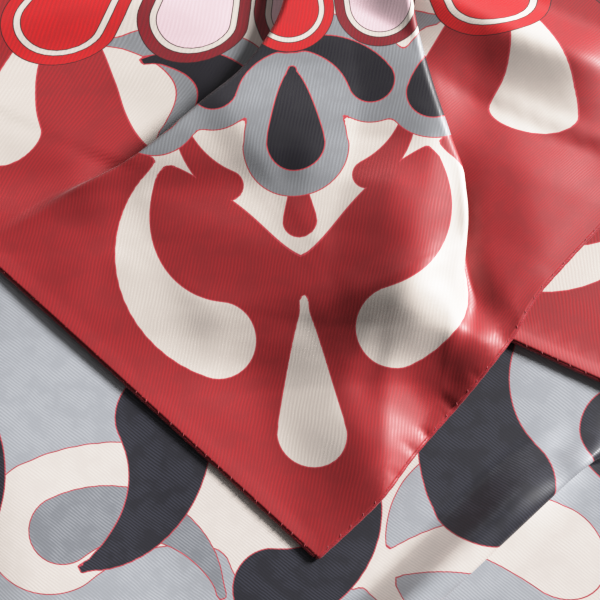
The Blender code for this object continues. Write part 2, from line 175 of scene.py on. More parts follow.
def fold_section(c, turn, bend, under):
    """How far along and down the cloth is, c past the start of a fold.

    It turns back through one bend, goes under, and turns forward again through a second.
    """
    radius = bend / np.maximum(turn, LEAST_TURN)
    angle = turn * np.clip(c / bend, 0, 1)
    left = turn * (1 - np.clip((c - bend - under) / bend, 0, 1))
    straight = np.clip(c - bend, 0, under)
    along = radius * (np.sin(angle) + np.sin(turn) - np.sin(left)) + straight * np.cos(turn)
    along += np.maximum(c - 2 * bend - under, 0)
    drop = radius * (1 - np.cos(angle) + np.cos(left) - np.cos(turn)) + straight * np.sin(turn)
    flat = (c <= 0) | (turn < LEAST_TURN)
    return np.where(flat, c, along), np.where(flat, 0, drop)


def curl(c, radius):
    """How far out and down the cloth is, c past the start of a half-round roll."""
    angle = np.clip(c / radius, 0, math.pi)
    out = radius * np.sin(angle) - np.maximum(c - math.pi * radius, 0)
    return out, radius * (1 - np.cos(angle))


print("a roll of 5 mm radius takes up", round(math.pi * 5, 1), "mm of cloth")

# %% [markdown]
# ## The box pleat
# The flap has one soft box pleat. Its middle panel lies over both side panels, is narrowest
# some 20 cm from the tip and fans out to nothing towards the hems. A short table says, row by
# row from the tip, where the two fold edges are, how many degrees the cloth turns back at each
# and how far it goes under. Between its rows every column is read off smoothly. Sculpting could
# shape such a pleat too, but a table can be read, and set again one row at a time.

# %% The pleat's table
PleatRow = namedtuple("PleatRow", "y left_x left_turn left_under right_x right_turn right_under")
PLEAT_ROWS = [
    PleatRow(0.000, -0.150, 0, 0.000, 0.046, 0, 0.000),
    PleatRow(0.060, -0.140, 0, 0.000, 0.048, 0, 0.000),
    PleatRow(0.080, -0.130, 0, 0.000, 0.051, 35, 0.000),
    PleatRow(0.094, -0.124, 0, 0.000, 0.0546, 85, 0.001),
    PleatRow(0.115, -0.114, 0, 0.000, 0.0586, 135, 0.004),
    PleatRow(0.1334, -0.0843, 30, 0.000, 0.0590, 172, 0.008),
    PleatRow(0.1475, -0.0562, 110, 0.001, 0.0555, 180, 0.012),
    PleatRow(0.165, -0.0336, 165, 0.006, 0.0510, 180, 0.015),
    PleatRow(0.1769, -0.0186, 180, 0.010, 0.0485, 180, 0.015),
    PleatRow(0.1942, -0.0051, 180, 0.013, 0.0455, 180, 0.014),
    PleatRow(0.215, 0.0010, 180, 0.012, 0.0440, 180, 0.012),
    PleatRow(0.245, 0.0015, 175, 0.010, 0.0480, 175, 0.010),
    PleatRow(0.285, -0.0060, 120, 0.004, 0.0600, 120, 0.004),
    PleatRow(0.330, -0.0200, 0, 0.000, 0.0780, 0, 0.000),
    PleatRow(0.430, -0.0400, 0, 0.000, 0.1000, 0, 0.000),
]
waist = min(row.right_x - row.left_x for row in PLEAT_ROWS)
print("the middle panel is", round(waist * 1000), "mm wide at its waist")


# %% Fold the pleat
PLEAT_RADIUS = 0.0021
PLEAT_BEND = math.pi * PLEAT_RADIUS
LEAST_ROOM = 0.004   # the shortest stretch that takes up what a fold pulls in


def pleat_at(y, side):
    """Edge x, turn and under of the left or right fold at y."""
    return (reading(PLEAT_ROWS, side + "_x", y),
            np.radians(reading(PLEAT_ROWS, side + "_turn", y)),
            reading(PLEAT_ROWS, side + "_under", y))


def pleated(p):
    """Where the flat flap's points go in x, and how high, with the pleat folded in."""
    x, y = p.T
    left_x, left_turn, left_under = pleat_at(y, "left")
    right_x, right_turn, right_under = pleat_at(y, "right")
    across = smooth((x - left_x) / (right_x - left_x))
    left_raise = fold_section(FAR, left_turn, PLEAT_BEND, left_under)[1]
    right_raise = fold_section(FAR, right_turn, PLEAT_BEND, right_under)[1]
    raised = left_raise * (1 - across) + right_raise * across
    folded_x = x.copy()
    folds = ((left_x, left_turn, left_under, -1), (right_x, right_turn, right_under, 1))
    for edge, turn, under, out in folds:
        start = edge - out * PLEAT_RADIUS
        c = (x - start) * out
        along, drop = fold_section(c, turn, PLEAT_BEND, under)
        zone = 2 * PLEAT_BEND + under
        taken_in = zone - fold_section(zone, turn, PLEAT_BEND, under)[0]
        room = np.maximum((out * y - start) * out - zone, LEAST_ROOM)
        beyond = start + out * (along + taken_in * smooth((c - zone) / room))
        folded_x = np.where(c > 0, beyond, folded_x)
        raised = np.where(c > 0, raised - drop, raised)
    return folded_x, raised


print("each fold of the pleat stands", round(4 * PLEAT_RADIUS * 1000, 1), "mm high")

# %% [markdown]
# ## How high each layer lies
# The solids that this cloth replaces have thicker walls, so the silk keeps to the middle of their
# layers. Its hems are rolled, and the rolls carry the edges: a panel climbs to the top of its roll
# over the last few millimetres. The three folds are soft rolls with a radius of their own. A
# simulation would push the layers apart by itself, but only roughly. Here each level is a sum.

# %% Levels and rolls
WALL = 0.0012
GAP = 0.0003
HEM_RADIUS = 0.0011
SILK = 0.0003   # the cloth is this thick
ROLL = 0.0009   # the rolled hem's radius
LOWER_LEVEL = WALL / 2
TURN_LEVEL = LOWER_LEVEL + WALL + GAP
REAR_ROLL = 0.0048
SIDE_ROLL = 0.0024
TRIM_ROLL = 0.0016
REAR_LEVEL = LOWER_LEVEL + 2 * REAR_ROLL
LOWER_CLIMB = HEM_RADIUS - LOWER_LEVEL + ROLL
CLIMB_REACH = 0.0070


def hem_climb(from_hem, rise):
    """How much a panel climbs towards its hem, to run over the top of the roll."""
    return rise * (1 - smooth((from_hem - ROLL) / CLIMB_REACH))


print("the flap's rear fold stands", round((REAR_LEVEL + SILK / 2) * 1000, 1), "mm above the table")

# %% [markdown]
# ## Soft creases
# Silk that has been folded and smoothed by hand keeps shallow ridges and hollows. Each one here
# follows a smooth line. Its section has a rounded crest, straight sides and a soft foot, and it
# is as wide on its left and on its right as it needs. A height below zero makes a hollow, and the
# ends fade out by themselves. A sculpting brush could raise them too, but a line in millimetres can
# be moved by exactly as much as it is off. Four slow waves keep any stretch from looking ironed.


# %% The section and the line of a ridge
Ridge = namedtuple("Ridge", "height left right crest points")
RIDGE_FOOT = 0.2   # share of its height in which its slopes ease into the cloth round it


def ridge_section(distance, width, crest):
    """Height at a distance from the line of a ridge of height 1."""
    left = np.maximum(1 - (np.hypot(distance, crest) - crest) / width, 0)
    return left ** 2 * (1 + RIDGE_FOOT) / (left + RIDGE_FOOT)


def smooth_line(points, count):
    """A smooth line through points, read at count + 1 even steps."""
    points = np.array(points, float)
    before = np.vstack([2 * points[0] - points[1], points[:-1]])
    after = np.vstack([points[1:], 2 * points[-1] - points[-2]])
    slope = (after - before) / 2
    at = np.array(spread(0, len(points) - 1, count))
    k = np.minimum(at.astype(int), len(points) - 2)
    t = (at - k)[:, None]
    ease = smooth(t)
    return (points[k] * (1 - ease) + points[k + 1] * ease
            + slope[k] * t * (1 - t) ** 2 - slope[k + 1] * t * t * (1 - t))


half_way_down = float(ridge_section(0.5, 1, 0.01))
print("half way down its side a ridge keeps", round(half_way_down, 2), "of its height")


# %% All the ridges and waves of a stretch
RIDGE_STEPS = 14   # straight steps in the line of each
RIDGE_END = 0.25   # share of a ridge's length in which it fades out
SLOW_WAVES = ((0.031, 40, 0.3), (0.043, -35, 1.9), (0.067, 100, 4.1), (0.023, 75, 2.2))
LONGEST_WAVE = 0.067


def ridged(x, y, ridges):
    """Height of all the ridges and hollows together at x, y."""
    total = np.zeros_like(x)
    for ridge in ridges:
        line = smooth_line(ridge.points, RIDGE_STEPS) * MM
        nearest, side, share = np.full_like(x, FAR), np.zeros_like(x), np.zeros_like(x)
        for k, (start, end) in enumerate(zip(line, line[1:])):
            run = end - start
            off_x, off_y = x - start[0], y - start[1]
            t = np.clip((off_x * run[0] + off_y * run[1]) / (run @ run), 0, 1)
            distance = np.hypot(off_x - t * run[0], off_y - t * run[1])
            closer = distance < nearest
            nearest = np.where(closer, distance, nearest)
            side = np.where(closer, run[0] * off_y - run[1] * off_x, side)
            share = np.where(closer, (k + t) / RIDGE_STEPS, share)
        width = np.where(side > 0, ridge.left, ridge.right) * MM
        ends = smooth(share / RIDGE_END) * smooth((1 - share) / RIDGE_END)
        total += ridge.height * MM * ridge_section(nearest, width, ridge.crest * MM) * ends
    return total


def slow_waves(x, y, height):
    """A gentle, irregular undulation of the cloth."""
    total = np.zeros_like(x)
    for length, heading, phase in SLOW_WAVES:
        along = x * math.cos(math.radians(heading)) + y * math.sin(math.radians(heading))
        total += np.sin(2 * math.pi * along / length + phase) * length / LONGEST_WAVE
    return total * height


print("the slow waves are", [round(wave[0] * 1000) for wave in SLOW_WAVES], "mm long")

# %% [markdown]
# ## The cloth below
# The lower cloth is everything that still lies reverse side up. Near the right hem it has one
# sharp ridge that leans over, as when a fold is pushed together. It runs nearly along that hem, so
# the lower cloth is drawn in hem coordinates: a along the near right hem, b across it.


# %% The knife ridge and the lower cloth
RIDGE_EDGE = 0.2466
RIDGE_VALLEY = 0.2590
RIDGE_UNDER = 0.003
RIDGE_RADIUS = 0.0012
RIDGE_BEND = math.pi * RIDGE_RADIUS
RIDGE_FROM, RIDGE_TO = 0.190, 0.402
RIDGE_FADE_IN, RIDGE_FADE_OUT = 0.060, 0.036
RIDGE_SLANT, RIDGE_PIVOT = 0.10, 0.356   # how fast it leaves the hem's direction, and from where
EASE_REACH = 0.070
WAVES_FROM_HEM = 0.020   # the slow waves start this far in
LOWER_WAVES = 0.00006
LOWER_BEDDING = 0.0002   # the cloth rests on the table this lightly
LOWER_RIDGES = [
    Ridge(2.5, 44, 26, 10, [(-128, 90), (-112, 40), (-100, -10), (-96, -60)]),
    Ridge(10.0, 11, 17, 1.6, [(-50, -80), (-20, -57), (10, -32), (40, -6), (71, 20), (96, 40)]),
]


def hem_to_drawing(p):
    """Points in hem coordinates, in the drawing frame."""
    return NEAR_CORNER + np.outer(p[:, 0], RIGHT_HEM) + np.outer(p[:, 1], LEFT_HEM)


def drawing_to_hem(v):
    """A step in the drawing frame, in hem coordinates."""
    return (v @ RIGHT_HEM, v @ LEFT_HEM)


def ridge_shift(a):
    """How much further in than RIDGE_EDGE the slanted ridge is at a."""
    return RIDGE_SLANT * (RIDGE_PIVOT - np.clip(a, RIDGE_FROM, RIDGE_TO))


def place_lower(p):
    """Where points of the lower cloth go, from their hem coordinates."""
    a, b = p.T
    fade = smooth((a - RIDGE_FROM) / RIDGE_FADE_IN) * smooth((RIDGE_TO - a) / RIDGE_FADE_OUT)
    turn, under = math.pi * fade, RIDGE_UNDER * fade
    start = RIDGE_EDGE + RIDGE_RADIUS + ridge_shift(a)
    valley = RIDGE_VALLEY + ridge_shift(a)
    zone = 2 * RIDGE_BEND + RIDGE_UNDER
    c = start - b
    step, drop = fold_section(c, turn, RIDGE_BEND, under)
    end_step, crest = fold_section(zone, turn, RIDGE_BEND, under)
    rise = crest * smooth((valley - b) / (valley - start)) - drop
    pushed = start - step - (zone - end_step) * smooth((c - zone) / EASE_REACH)
    b = np.where(c > 0, pushed, b)
    x, y = hem_to_drawing(np.stack([a, b], 1)).T
    from_hem = np.minimum(a, b)
    waves = slow_waves(x, y, LOWER_WAVES) * smooth(from_hem / WAVES_FROM_HEM)
    rise += ridged(x, y, LOWER_RIDGES) + waves + LOWER_BEDDING
    rise += hem_climb(from_hem, LOWER_CLIMB)
    return np.stack([x, y, LOWER_LEVEL + np.maximum(rise, 0)], 1)


print("the knife ridge runs", round((RIDGE_TO - RIDGE_FROM) * 1000), "mm along the hem")

# %% [markdown]
# The right corner is turned in over its own soft roll, so it lies face up and rises a little
# towards that fold. The far part of its side fold runs under the flap. Two formulas are enough for
# it: a level that rises, and a half-round roll at the fold.


# %% The turned corner
SIDE_RISE_WIDTH = 0.040


def turned_level(p):
    """Height of the turned corner at p: it rises to its side fold."""
    inside = (p - TURN_START) @ SIDE_FOLD_IN
    rise = LOWER_LEVEL + 2 * SIDE_ROLL - TURN_LEVEL
    return TURN_LEVEL + rise * (1 - smooth(inside / SIDE_RISE_WIDTH))


def turned_climb(p):
    """The turned corner's climb to its near hem."""
    return hem_climb(-(p - TURN_START) @ TURN_HEM_OUT, LOWER_CLIMB)


def place_turn(p):
    """Where points of the turned corner go: past its side fold they roll under."""
    over = np.maximum(-(p - TURN_START) @ SIDE_FOLD_IN, 0)
    out, down = curl(over, SIDE_ROLL)
    at_fold = p + np.outer(over, SIDE_FOLD_IN)
    level = turned_level(at_fold) + turned_climb(at_fold)
    return np.column_stack([at_fold - np.outer(out, SIDE_FOLD_IN), level - down])


print("the turned corner lies", round(TURN_LEVEL * 1000, 1), "mm above the table")

# %% [markdown]
# ## The flap's height
# The flap adds up what lies under it: the roll of its own hems, the turned corner on its right
# and the fold at its trimmed side. Its ridges and hollows come on top, fainter near the hems,
# where the cloth is stiff. It never sinks below the cloth that it rests on.

# %% Ridges and hollows of the flap
FLAP_RIDGES = [   # all in millimetres, left and right as seen walking along the points
    Ridge(6.1, 91, 18, 1.3, [(-3, -21), (9, -2), (19, 15), (23, 32), (25, 52), (29, 75), (34, 97)]),
    Ridge(3.9, 23, 15, 4.6, [(31, 57), (36, 80), (37, 104), (41, 125), (47, 142), (50, 161), (49, 183),
                             (46, 207)]),
    Ridge(5.4, 34, 32, 4.0, [(28, 107), (33, 95), (41, 85), (55, 76), (69, 65), (84, 53), (101, 41)]),
    Ridge(-1.7, 22, 5, 3.7, [(41, 100), (50, 95), (59, 85), (70, 76), (82, 67)]),
    Ridge(3.1, 8, 250, 3.3, [(99, 35), (88, 56), (79, 76), (72, 92), (67, 106), (66, 123), (67, 144),
                             (66, 168)]),
    Ridge(-1.8, 5, 18, 0.8, [(36, 187), (60, 168), (83, 153), (107, 140), (130, 128)]),
    Ridge(8.0, 14, 19, 3.0, [(26, 222), (46, 209), (71, 192), (101, 176), (130, 164)]),
    Ridge(3.5, 24, 45, 5, [(98, 60), (90, 90), (84, 120), (78, 150), (72, 178)]),
    Ridge(0.8, 9, 50, 31, [(3, -3), (-44, 47), (-92, 97), (-142, 148)]),
    Ridge(-1.6, 10, 50, 54, [(-80, 137), (-57, 146), (-37, 151), (-21, 160)]),
    Ridge(-3.3, 48, 48, 43, [(-102, 204), (-97, 165), (-93, 127)]),
    Ridge(4.0, 75, 75, 24, [(-200, 330), (-20, 332), (150, 328)]),
    Ridge(-4.7, 25, 39, 11, [(-25, 93), (-19, 57), (-12, 22), (-5, -12)]),
    Ridge(-1.3, 12, 11, 12, [(-81, 111), (-60, 89), (-38, 67)]),
    Ridge(1.8, 16, 19, 2.0, [(-7, 137), (19, 133), (44, 128)]),
    Ridge(2.2, 9, 12, 3.1, [(37, 55), (56, 68), (74, 82)]),
    Ridge(-2.3, 13, 23, 6.0, [(18, 75), (37, 64), (58, 56)]),
]
print("the flap has", len(FLAP_RIDGES), "ridges and hollows")


# %% Place the flap
HEM_CLIMB = 0.3 * ROLL   # how much the flap still climbs to the top of its roll
HEM_BELOW = ROLL - HEM_CLIMB   # and how far its roll's middle lies below it
FLAP_LEVEL = LOWER_LEVEL + SILK + ROLL + HEM_BELOW
FLAP_RISE, FLAP_RISE_REACH = 0.0004, 0.035
TURN_LIFT, TURN_LIFT_FROM, TURN_LIFT_REACH = 0.0025, 0.030, 0.026   # over the turned corner
TRIM_LIFT, TRIM_LIFT_REACH = 0.0026, 0.060   # at the trimmed side's fold
HEM_LIFT, HEM_LIFT_REACH = 0.8, 0.012   # the share of a ridge that the hems keep
LEFT_LIFT, LEFT_LIFT_REACH = 0.3, 0.036   # the share of all relief that the left hem keeps
FLAP_WAVES = 0.00010
EASE_OFF = 0.0005   # how softly the flap comes to rest on the cloth below
REAR_RISE_FROM, REAR_FLAT = 0.300, 0.020   # where it starts to rise to the rear fold, and its top


def from_hems(x, y):
    """Distances from the right and left hems of the corner at (0, 0)."""
    return (y - x) / math.sqrt(2), (y + x) / math.sqrt(2)


def flap_level(x, y):
    """Height of the flap at x, y, without its pleat."""
    from_right, from_left = from_hems(x, y)
    from_hem = np.minimum(from_right, from_left)
    p = np.stack([x, y], 1)
    from_trim = -(p - TURN_END) @ TRIM_FOLD_OUT
    beyond_turned_hem = -(p - TURN_START) @ TURN_HEM_OUT
    level = FLAP_LEVEL + FLAP_RISE * smooth(from_hem / FLAP_RISE_REACH)
    level += TURN_LIFT * smooth((beyond_turned_hem + TURN_LIFT_FROM) / TURN_LIFT_REACH)
    level += TRIM_LIFT * (1 - smooth(from_trim / TRIM_LIFT_REACH))
    relief = ridged(x, y, FLAP_RIDGES)
    relief *= LEFT_LIFT + (1 - LEFT_LIFT) * smooth(from_left / LEFT_LIFT_REACH)
    level += relief * smooth(from_hem / HEM_LIFT_REACH)
    level += HEM_LIFT * np.maximum(relief, 0) * (1 - smooth(from_hem / HEM_LIFT_REACH))
    level += slow_waves(x, y, FLAP_WAVES) * smooth(from_hem / WAVES_FROM_HEM)
    below = np.where(beyond_turned_hem > 0, turned_level(p), LOWER_LEVEL) + SILK
    level = (level + below + np.hypot(level - below, EASE_OFF)) / 2   # at least as high as below
    rear = smooth((y - REAR_RISE_FROM) / (FLAP_DEPTH - REAR_RISE_FROM - REAR_FLAT))
    return level + (REAR_LEVEL - level) * rear


def place_flap(p):
    """Where the flat flap's points go on the folded square."""
    over_rear = np.maximum(p[:, 1] - FLAP_DEPTH, 0)
    flat = p - np.outer(over_rear, (0, 1))
    over_trim = np.maximum((flat - TURN_END) @ TRIM_FOLD_OUT, 0)
    flat = flat - np.outer(over_trim, TRIM_FOLD_OUT)
    x, raised = pleated(flat)
    y = flat[:, 1]
    level = flap_level(x, y) + raised
    level += hem_climb(np.minimum(*from_hems(*flat.T)), HEM_CLIMB)
    out, down = curl(over_trim, TRIM_ROLL)
    x, y, level = x + out * TRIM_FOLD_OUT[0], y + out * TRIM_FOLD_OUT[1], level - down
    back, down = curl(over_rear, REAR_ROLL)
    share = (level - LOWER_LEVEL) / (2 * REAR_ROLL)
    return np.stack([x, y + back, level - down * share], 1)


print("the flap lies", round(FLAP_LEVEL * 1000, 1), "mm above the table at its hems")

# %% [markdown]
# ## The print
# A silk square is printed in one go, so the print belongs to the flat cloth and not to its folds.
# Every motif is a comma, the oldest shape in silk printing: a round head and a body that tapers
# along a curling spine. From each point of the flat cloth the distance to the nearest edge of each
# colour's shapes is kept as an attribute. The material turns distances into crisp shapes with fine
# outlines, which stay sharp at any zoom, follow every fold and need no image.

# %% A comma and the distance to it
Motif = namedtuple("Motif", "colour x y radius heading length curl blunt")
SPINE_STEPS = 20
THINNEST = 1.7   # the tails end this round, in millimetres
OUT_OF_REACH = 0.020


def distance_to_comma(p, m):
    """Signed distance from points to a comma, in metres, below zero inside it."""
    near = np.full(len(p), FAR)
    joint = np.array([m.x, m.y]) * MM
    for k in range(SPINE_STEPS):
        t, t_next = k / SPINE_STEPS, (k + 1) / SPINE_STEPS
        heading = math.radians(m.heading + m.curl * (t + t_next) / 2)
        step = np.array([math.cos(heading), math.sin(heading)]) * m.length * MM / SPINE_STEPS
        thick, thin = (max(m.radius * (1 - s) ** m.blunt, THINNEST) * MM for s in (t, t_next))
        offset = p - joint
        along = np.clip(offset @ step / (step @ step), 0, 1)
        gap = np.hypot(*(offset - np.outer(along, step)).T) - thick - (thin - thick) * along
        near = np.minimum(near, gap)
        joint = joint + step
    return near


def both_sides(motifs):
    """The motifs and their mirror images across the diagonal."""
    return motifs + [m._replace(x=-m.x, heading=180 - m.heading, curl=-m.curl)
                     for m in motifs if m.x != 0]


print("a comma's spine has", SPINE_STEPS, "steps")

# %% [markdown]
# Each corner of the square holds the same bouquet, in millimetres from that corner: commas in the
# red border, grey and black paisleys above them, and a fan of petals that opens towards the corner.
# The border's smaller sprays repeat along the hems, and the middle is a ring of loose commas.

# %% The bouquet in each corner
CORNER_MOTIFS = both_sides([
    Motif("ivory", 0, 45, 12.0, 90, 46, 0, 0.8),
    Motif("ivory", 31, 79, 13.5, 15, 80, 118, 0.7),
    Motif("red", 0, 119, 6.0, 90, 20, 0, 0.8),
    Motif("grey", 0, 147, 19.0, 90, 40, 0, 0.6),
    Motif("black", 0, 148, 10.5, 90, 27, 0, 0.6),
    Motif("grey", 50, 163, 17.0, 75, 56, -80, 0.7),
    Motif("black", 50, 163, 9.5, 75, 42, -80, 0.7),
    Motif("red", 25, 134, 5.5, 30, 42, 70, 0.8),
])
FAN_FOCUS = 400
FAN_REACH = 218
FAN_LAG = 2.6   # how much longer the outer petals reach
PETAL_COLOURS = ("scarlet", "pink", "wine")


def petals(count_each_side, spacing, radius, length):
    """A fan of petals that opens towards the corner, their heads on a shallow arc."""
    fan = []
    for k in range(-count_each_side, count_each_side + 1):
        heading = math.radians(k * spacing - 90)
        reach = FAN_REACH + FAN_LAG * k * k - radius
        fan.append(Motif(PETAL_COLOURS[k % 3], reach * math.cos(heading),
                         FAN_FOCUS + reach * math.sin(heading), radius,
                         math.degrees(heading) + 180, length, 0, 0.8))
    return fan


CORNER_MOTIFS += petals(5, 9.4, 16.5, 150)
print("each corner has", len(CORNER_MOTIFS), "motifs")

# %% Sprays along the hems
FIRST_SPRAY = 190
SPRAY_STEP = 112.5
SPRAYS_A_SIDE = 3
SPRAY = [
    Motif("ivory", 0, 32, 9.0, 20, 52, 60, 0.75),
    Motif("ivory", 34, 22, 5.0, 200, 34, 70, 0.75),
    Motif("grey", -50, 100, 16.0, 70, 50, 80, 0.75),
    Motif("black", -50, 100, 8.5, 70, 36, 80, 0.75),
    Motif("black", 4, 96, 7.0, 60, 40, -80, 0.75),
]


def sprays():
    """The border's sprays, whose x runs along the right hem and y in from it."""
    placed = []
    for n in range(SPRAYS_A_SIDE):
        for m in SPRAY:
            spot = RIGHT_HEM * (FIRST_SPRAY + n * SPRAY_STEP + m.x) + LEFT_HEM * m.y
            placed.append(m._replace(x=spot[0], y=spot[1], heading=m.heading + 45))
    return both_sides(placed)


print("the border has", len(sprays()), "motifs in each corner's quarter")

# %% The medallion's loose commas
MEDALLION = [
    Motif("pale", 92, 430, 24, 150, 110, 100, 0.7),
    Motif("grey", 88, 428, 12, 150, 70, 110, 0.7),
    Motif("black", 52, 466, 17, 255, 66, 90, 0.7),
    Motif("pale", 12, 420, 20, 60, 90, 110, 0.7),
    Motif("black", 16, 404, 14, 180, 62, -100, 0.7),
    Motif("pale", -38, 462, 15, 330, 84, -110, 0.7),
    Motif("black", -62, 436, 22, 60, 84, 100, 0.7),
    Motif("pale", -92, 404, 15, 30, 84, -60, 0.7),
    Motif("black", -112, 452, 17, 250, 70, -80, 0.7),
    Motif("black", 124, 462, 14, 240, 60, 90, 0.7),
    Motif("grey", -18, 520, 20, 100, 80, 110, 0.7),
    Motif("black", 46, 522, 14, 60, 60, 110, 0.7),
    Motif("grey", 4, 582, 14, 90, 40, 90, 0.7),
    Motif("black", 30, 600, 7, 200, 34, 90, 0.7),
]
print("the medallion repeats", len(MEDALLION), "motifs four times")

# %% [markdown]
# The square looks the same from its four corners, so a point is first turned into the nearest
# corner's quarter. The border's inner edge is a wave that is rounded where it turns the corner,
# and the medallion is a ring with a scalloped rim.

# %% Distances for every colour
COLOURS = ("ivory", "red", "medallion", "pale", "grey", "black", "scarlet", "pink", "wine")
CENTRE = np.array([0, SIDE / math.sqrt(2)])
BORDER = 0.066
BORDER_WAVE = 0.007
CORNER_SOFT = 0.050
RING_OUTER, RING_INNER, SCALLOP = 0.262, 0.125, 0.005
SCALLOPS = 20
MELT = 0.0030   # how close two shapes of one colour are when they start to melt together


def turned(p, quarters):
    """Points turned by so many quarter turns about (0, 0)."""
    for _ in range(quarters % 4):
        p = np.stack([-p[:, 1], p[:, 0]], 1)
    return p


def border_edge(x, y):
    """Distance to the border's inner edge, below zero further in. Any corner can be at (0, 0)."""
    right, left = from_hems(x, y)
    rounded = np.maximum(CORNER_SOFT - abs(left - right), 0) ** 2 / (4 * CORNER_SOFT)
    wave = BORDER_WAVE * np.cos(2 * math.pi * np.maximum(left, right) / (SPRAY_STEP * MM))
    return BORDER + wave - (np.minimum(left, right) - rounded)


def melted(one, other):
    """Distance to two shapes of one colour, which melt together where they meet."""
    close = np.maximum(1 - abs(one - other) / MELT, 0)
    return np.minimum(one, other) - close ** 2 * MELT / 4


def print_distances(cut):
    """Signed distances to every colour's shapes, at points of the flat square."""
    centred = cut - CENTRE
    quarter = np.round(np.degrees(np.arctan2(centred[:, 0], -centred[:, 1])) / 90).astype(int) % 4
    for k in (1, 2, 3):
        here = quarter == k
        centred[here] = turned(centred[here], -k)
    x, y = (centred + CENTRE).T
    found = {colour: np.full(len(cut), OUT_OF_REACH) for colour in COLOURS}
    found["ivory"] = border_edge(x, y)
    around = np.hypot(*centred.T)
    scallop = SCALLOP * np.cos(SCALLOPS * np.arctan2(centred[:, 0], -centred[:, 1]))
    found["medallion"] = np.maximum(around - RING_OUTER - scallop, RING_INNER - around)
    groups = [(centred + CENTRE, CORNER_MOTIFS + sprays())]
    groups += [(turned(centred, k) + CENTRE, MEDALLION) for k in (0, 1, 3)]
    for points, motifs in groups:
        for m in motifs:
            reach = (m.radius + m.length) * MM + OUT_OF_REACH
            near = np.hypot(points[:, 0] - m.x * MM, points[:, 1] - m.y * MM) < reach
            if near.any():
                gap = distance_to_comma(points[near], m)
                found[m.colour][near] = melted(found[m.colour][near], gap)
    return found


in_border = print_distances(np.array([[0.0, 0.020]]))["ivory"][0]
print("a point of the border is", round(in_border * 1000), "mm from the ivory")

# %% [markdown]
# ## Silk twill
# Twill is woven so that its threads step sideways row by row, which leaves fine slanted lines. A
# picture of cloth would blur from near and repeat from afar, so wave and noise textures draw them.
# Two node groups hold what all the silk shares. One paints a shape over the colour below it, from
# a distance. The other makes the twill lines, with a slight waver, and the specks of single threads.
# The shader itself stays in each material, where its plain values are set.


# %% Small helpers for node trees
def srgb(red, green, blue):
    """A colour given as on screen, 0 to 255, as the shader's own linear numbers."""
    shares = (red / 255, green / 255, blue / 255)
    return (*(c / 12.92 if c <= 0.04 else ((c + 0.055) / 1.055) ** 2.4 for c in shares), 1)


def feed(tree, node, inputs):
    """Sets a node's sockets. Inputs are (socket, value or another node's output)."""
    for socket, value in inputs:
        if isinstance(value, bpy.types.NodeSocket):
            tree.links.new(value, node.inputs[socket])
        else:
            node.inputs[socket].default_value = value
    return node


def add_node(tree, kind, inputs=(), **settings):
    """A node with its settings, fed."""
    node = tree.nodes.new(kind)
    for name, value in settings.items():
        setattr(node, name, value)
    return feed(tree, node, inputs)


def add_group(tree, group, inputs):
    """A shared node group, fed. Its sockets are there once the group is set."""
    return feed(tree, add_node(tree, "ShaderNodeGroup", node_tree=group), inputs)


def calculate(tree, operation, *values):
    """One sum of a Math node."""
    return add_node(tree, "ShaderNodeMath", list(enumerate(values)), operation=operation).outputs[0]


def ramp(tree, value, low, high, to_low, to_high):
    """A smooth step from to_low to to_high."""
    inputs = [("Value", value), ("From Min", low), ("From Max", high),
              ("To Min", to_low), ("To Max", to_high)]
    node = add_node(tree, "ShaderNodeMapRange", inputs, interpolation_type="SMOOTHSTEP")
    return node.outputs["Result"]


def blend(tree, kind, share, under, over):
    """Two colours blended, by the Mix node's factor and its two colour sockets."""
    node = add_node(tree, "ShaderNodeMix", data_type="RGBA", blend_type=kind)
    return feed(tree, node, [(0, share), (6, under), (7, over)]).outputs[2]


def new_group(name, inputs, outputs):
    """A shader node group with named sockets, and its two ends."""
    tree = bpy.data.node_groups.new(name, "ShaderNodeTree")
    for label, kind in inputs:
        tree.interface.new_socket(label, in_out="INPUT", socket_type="NodeSocket" + kind)
    for label, kind in outputs:
        tree.interface.new_socket(label, in_out="OUTPUT", socket_type="NodeSocket" + kind)
    return tree, tree.nodes.new("NodeGroupInput"), tree.nodes.new("NodeGroupOutput")


print("a grey of 128 on screen is", round(srgb(128, 128, 128)[0], 3), "in linear numbers")

# %% The group that paints one shape
EDGE_SOFTNESS = 0.00008


def make_shape_group():
    """Paints a shape with a fine outline over the colour below it."""
    tree, given, made = new_group(
        "printed_shape",
        [("Under", "Color"), ("Distance", "Float"), ("Fill", "Color"), ("Outline", "Color"),
         ("Line", "Float")],
        [("Colour", "Color")])
    inside = ramp(tree, given.outputs["Distance"], -EDGE_SOFTNESS, EDGE_SOFTNESS, 1, 0)
    filled = blend(tree, "MIX", inside, given.outputs["Under"], given.outputs["Fill"])
    to_edge = calculate(tree, "ABSOLUTE", given.outputs["Distance"])
    off_edge = calculate(tree, "SUBTRACT", to_edge, given.outputs["Line"])
    on_line = ramp(tree, off_edge, -EDGE_SOFTNESS, EDGE_SOFTNESS, 1, 0)
    tree.links.new(blend(tree, "MIX", on_line, filled, given.outputs["Outline"]), made.inputs["Colour"])
    return tree


shape_group = make_shape_group()
print(shape_group.name, "has", len(shape_group.nodes), "nodes")

# %% The group that weaves the twill
WAVE_PERIOD = 2 * math.pi / 20   # of Blender's wave texture at scale 1
WAVER = 0.0026   # how far the lines stray sideways
SPECK_HEIGHT = 0.35   # of single threads, against 1 for a line


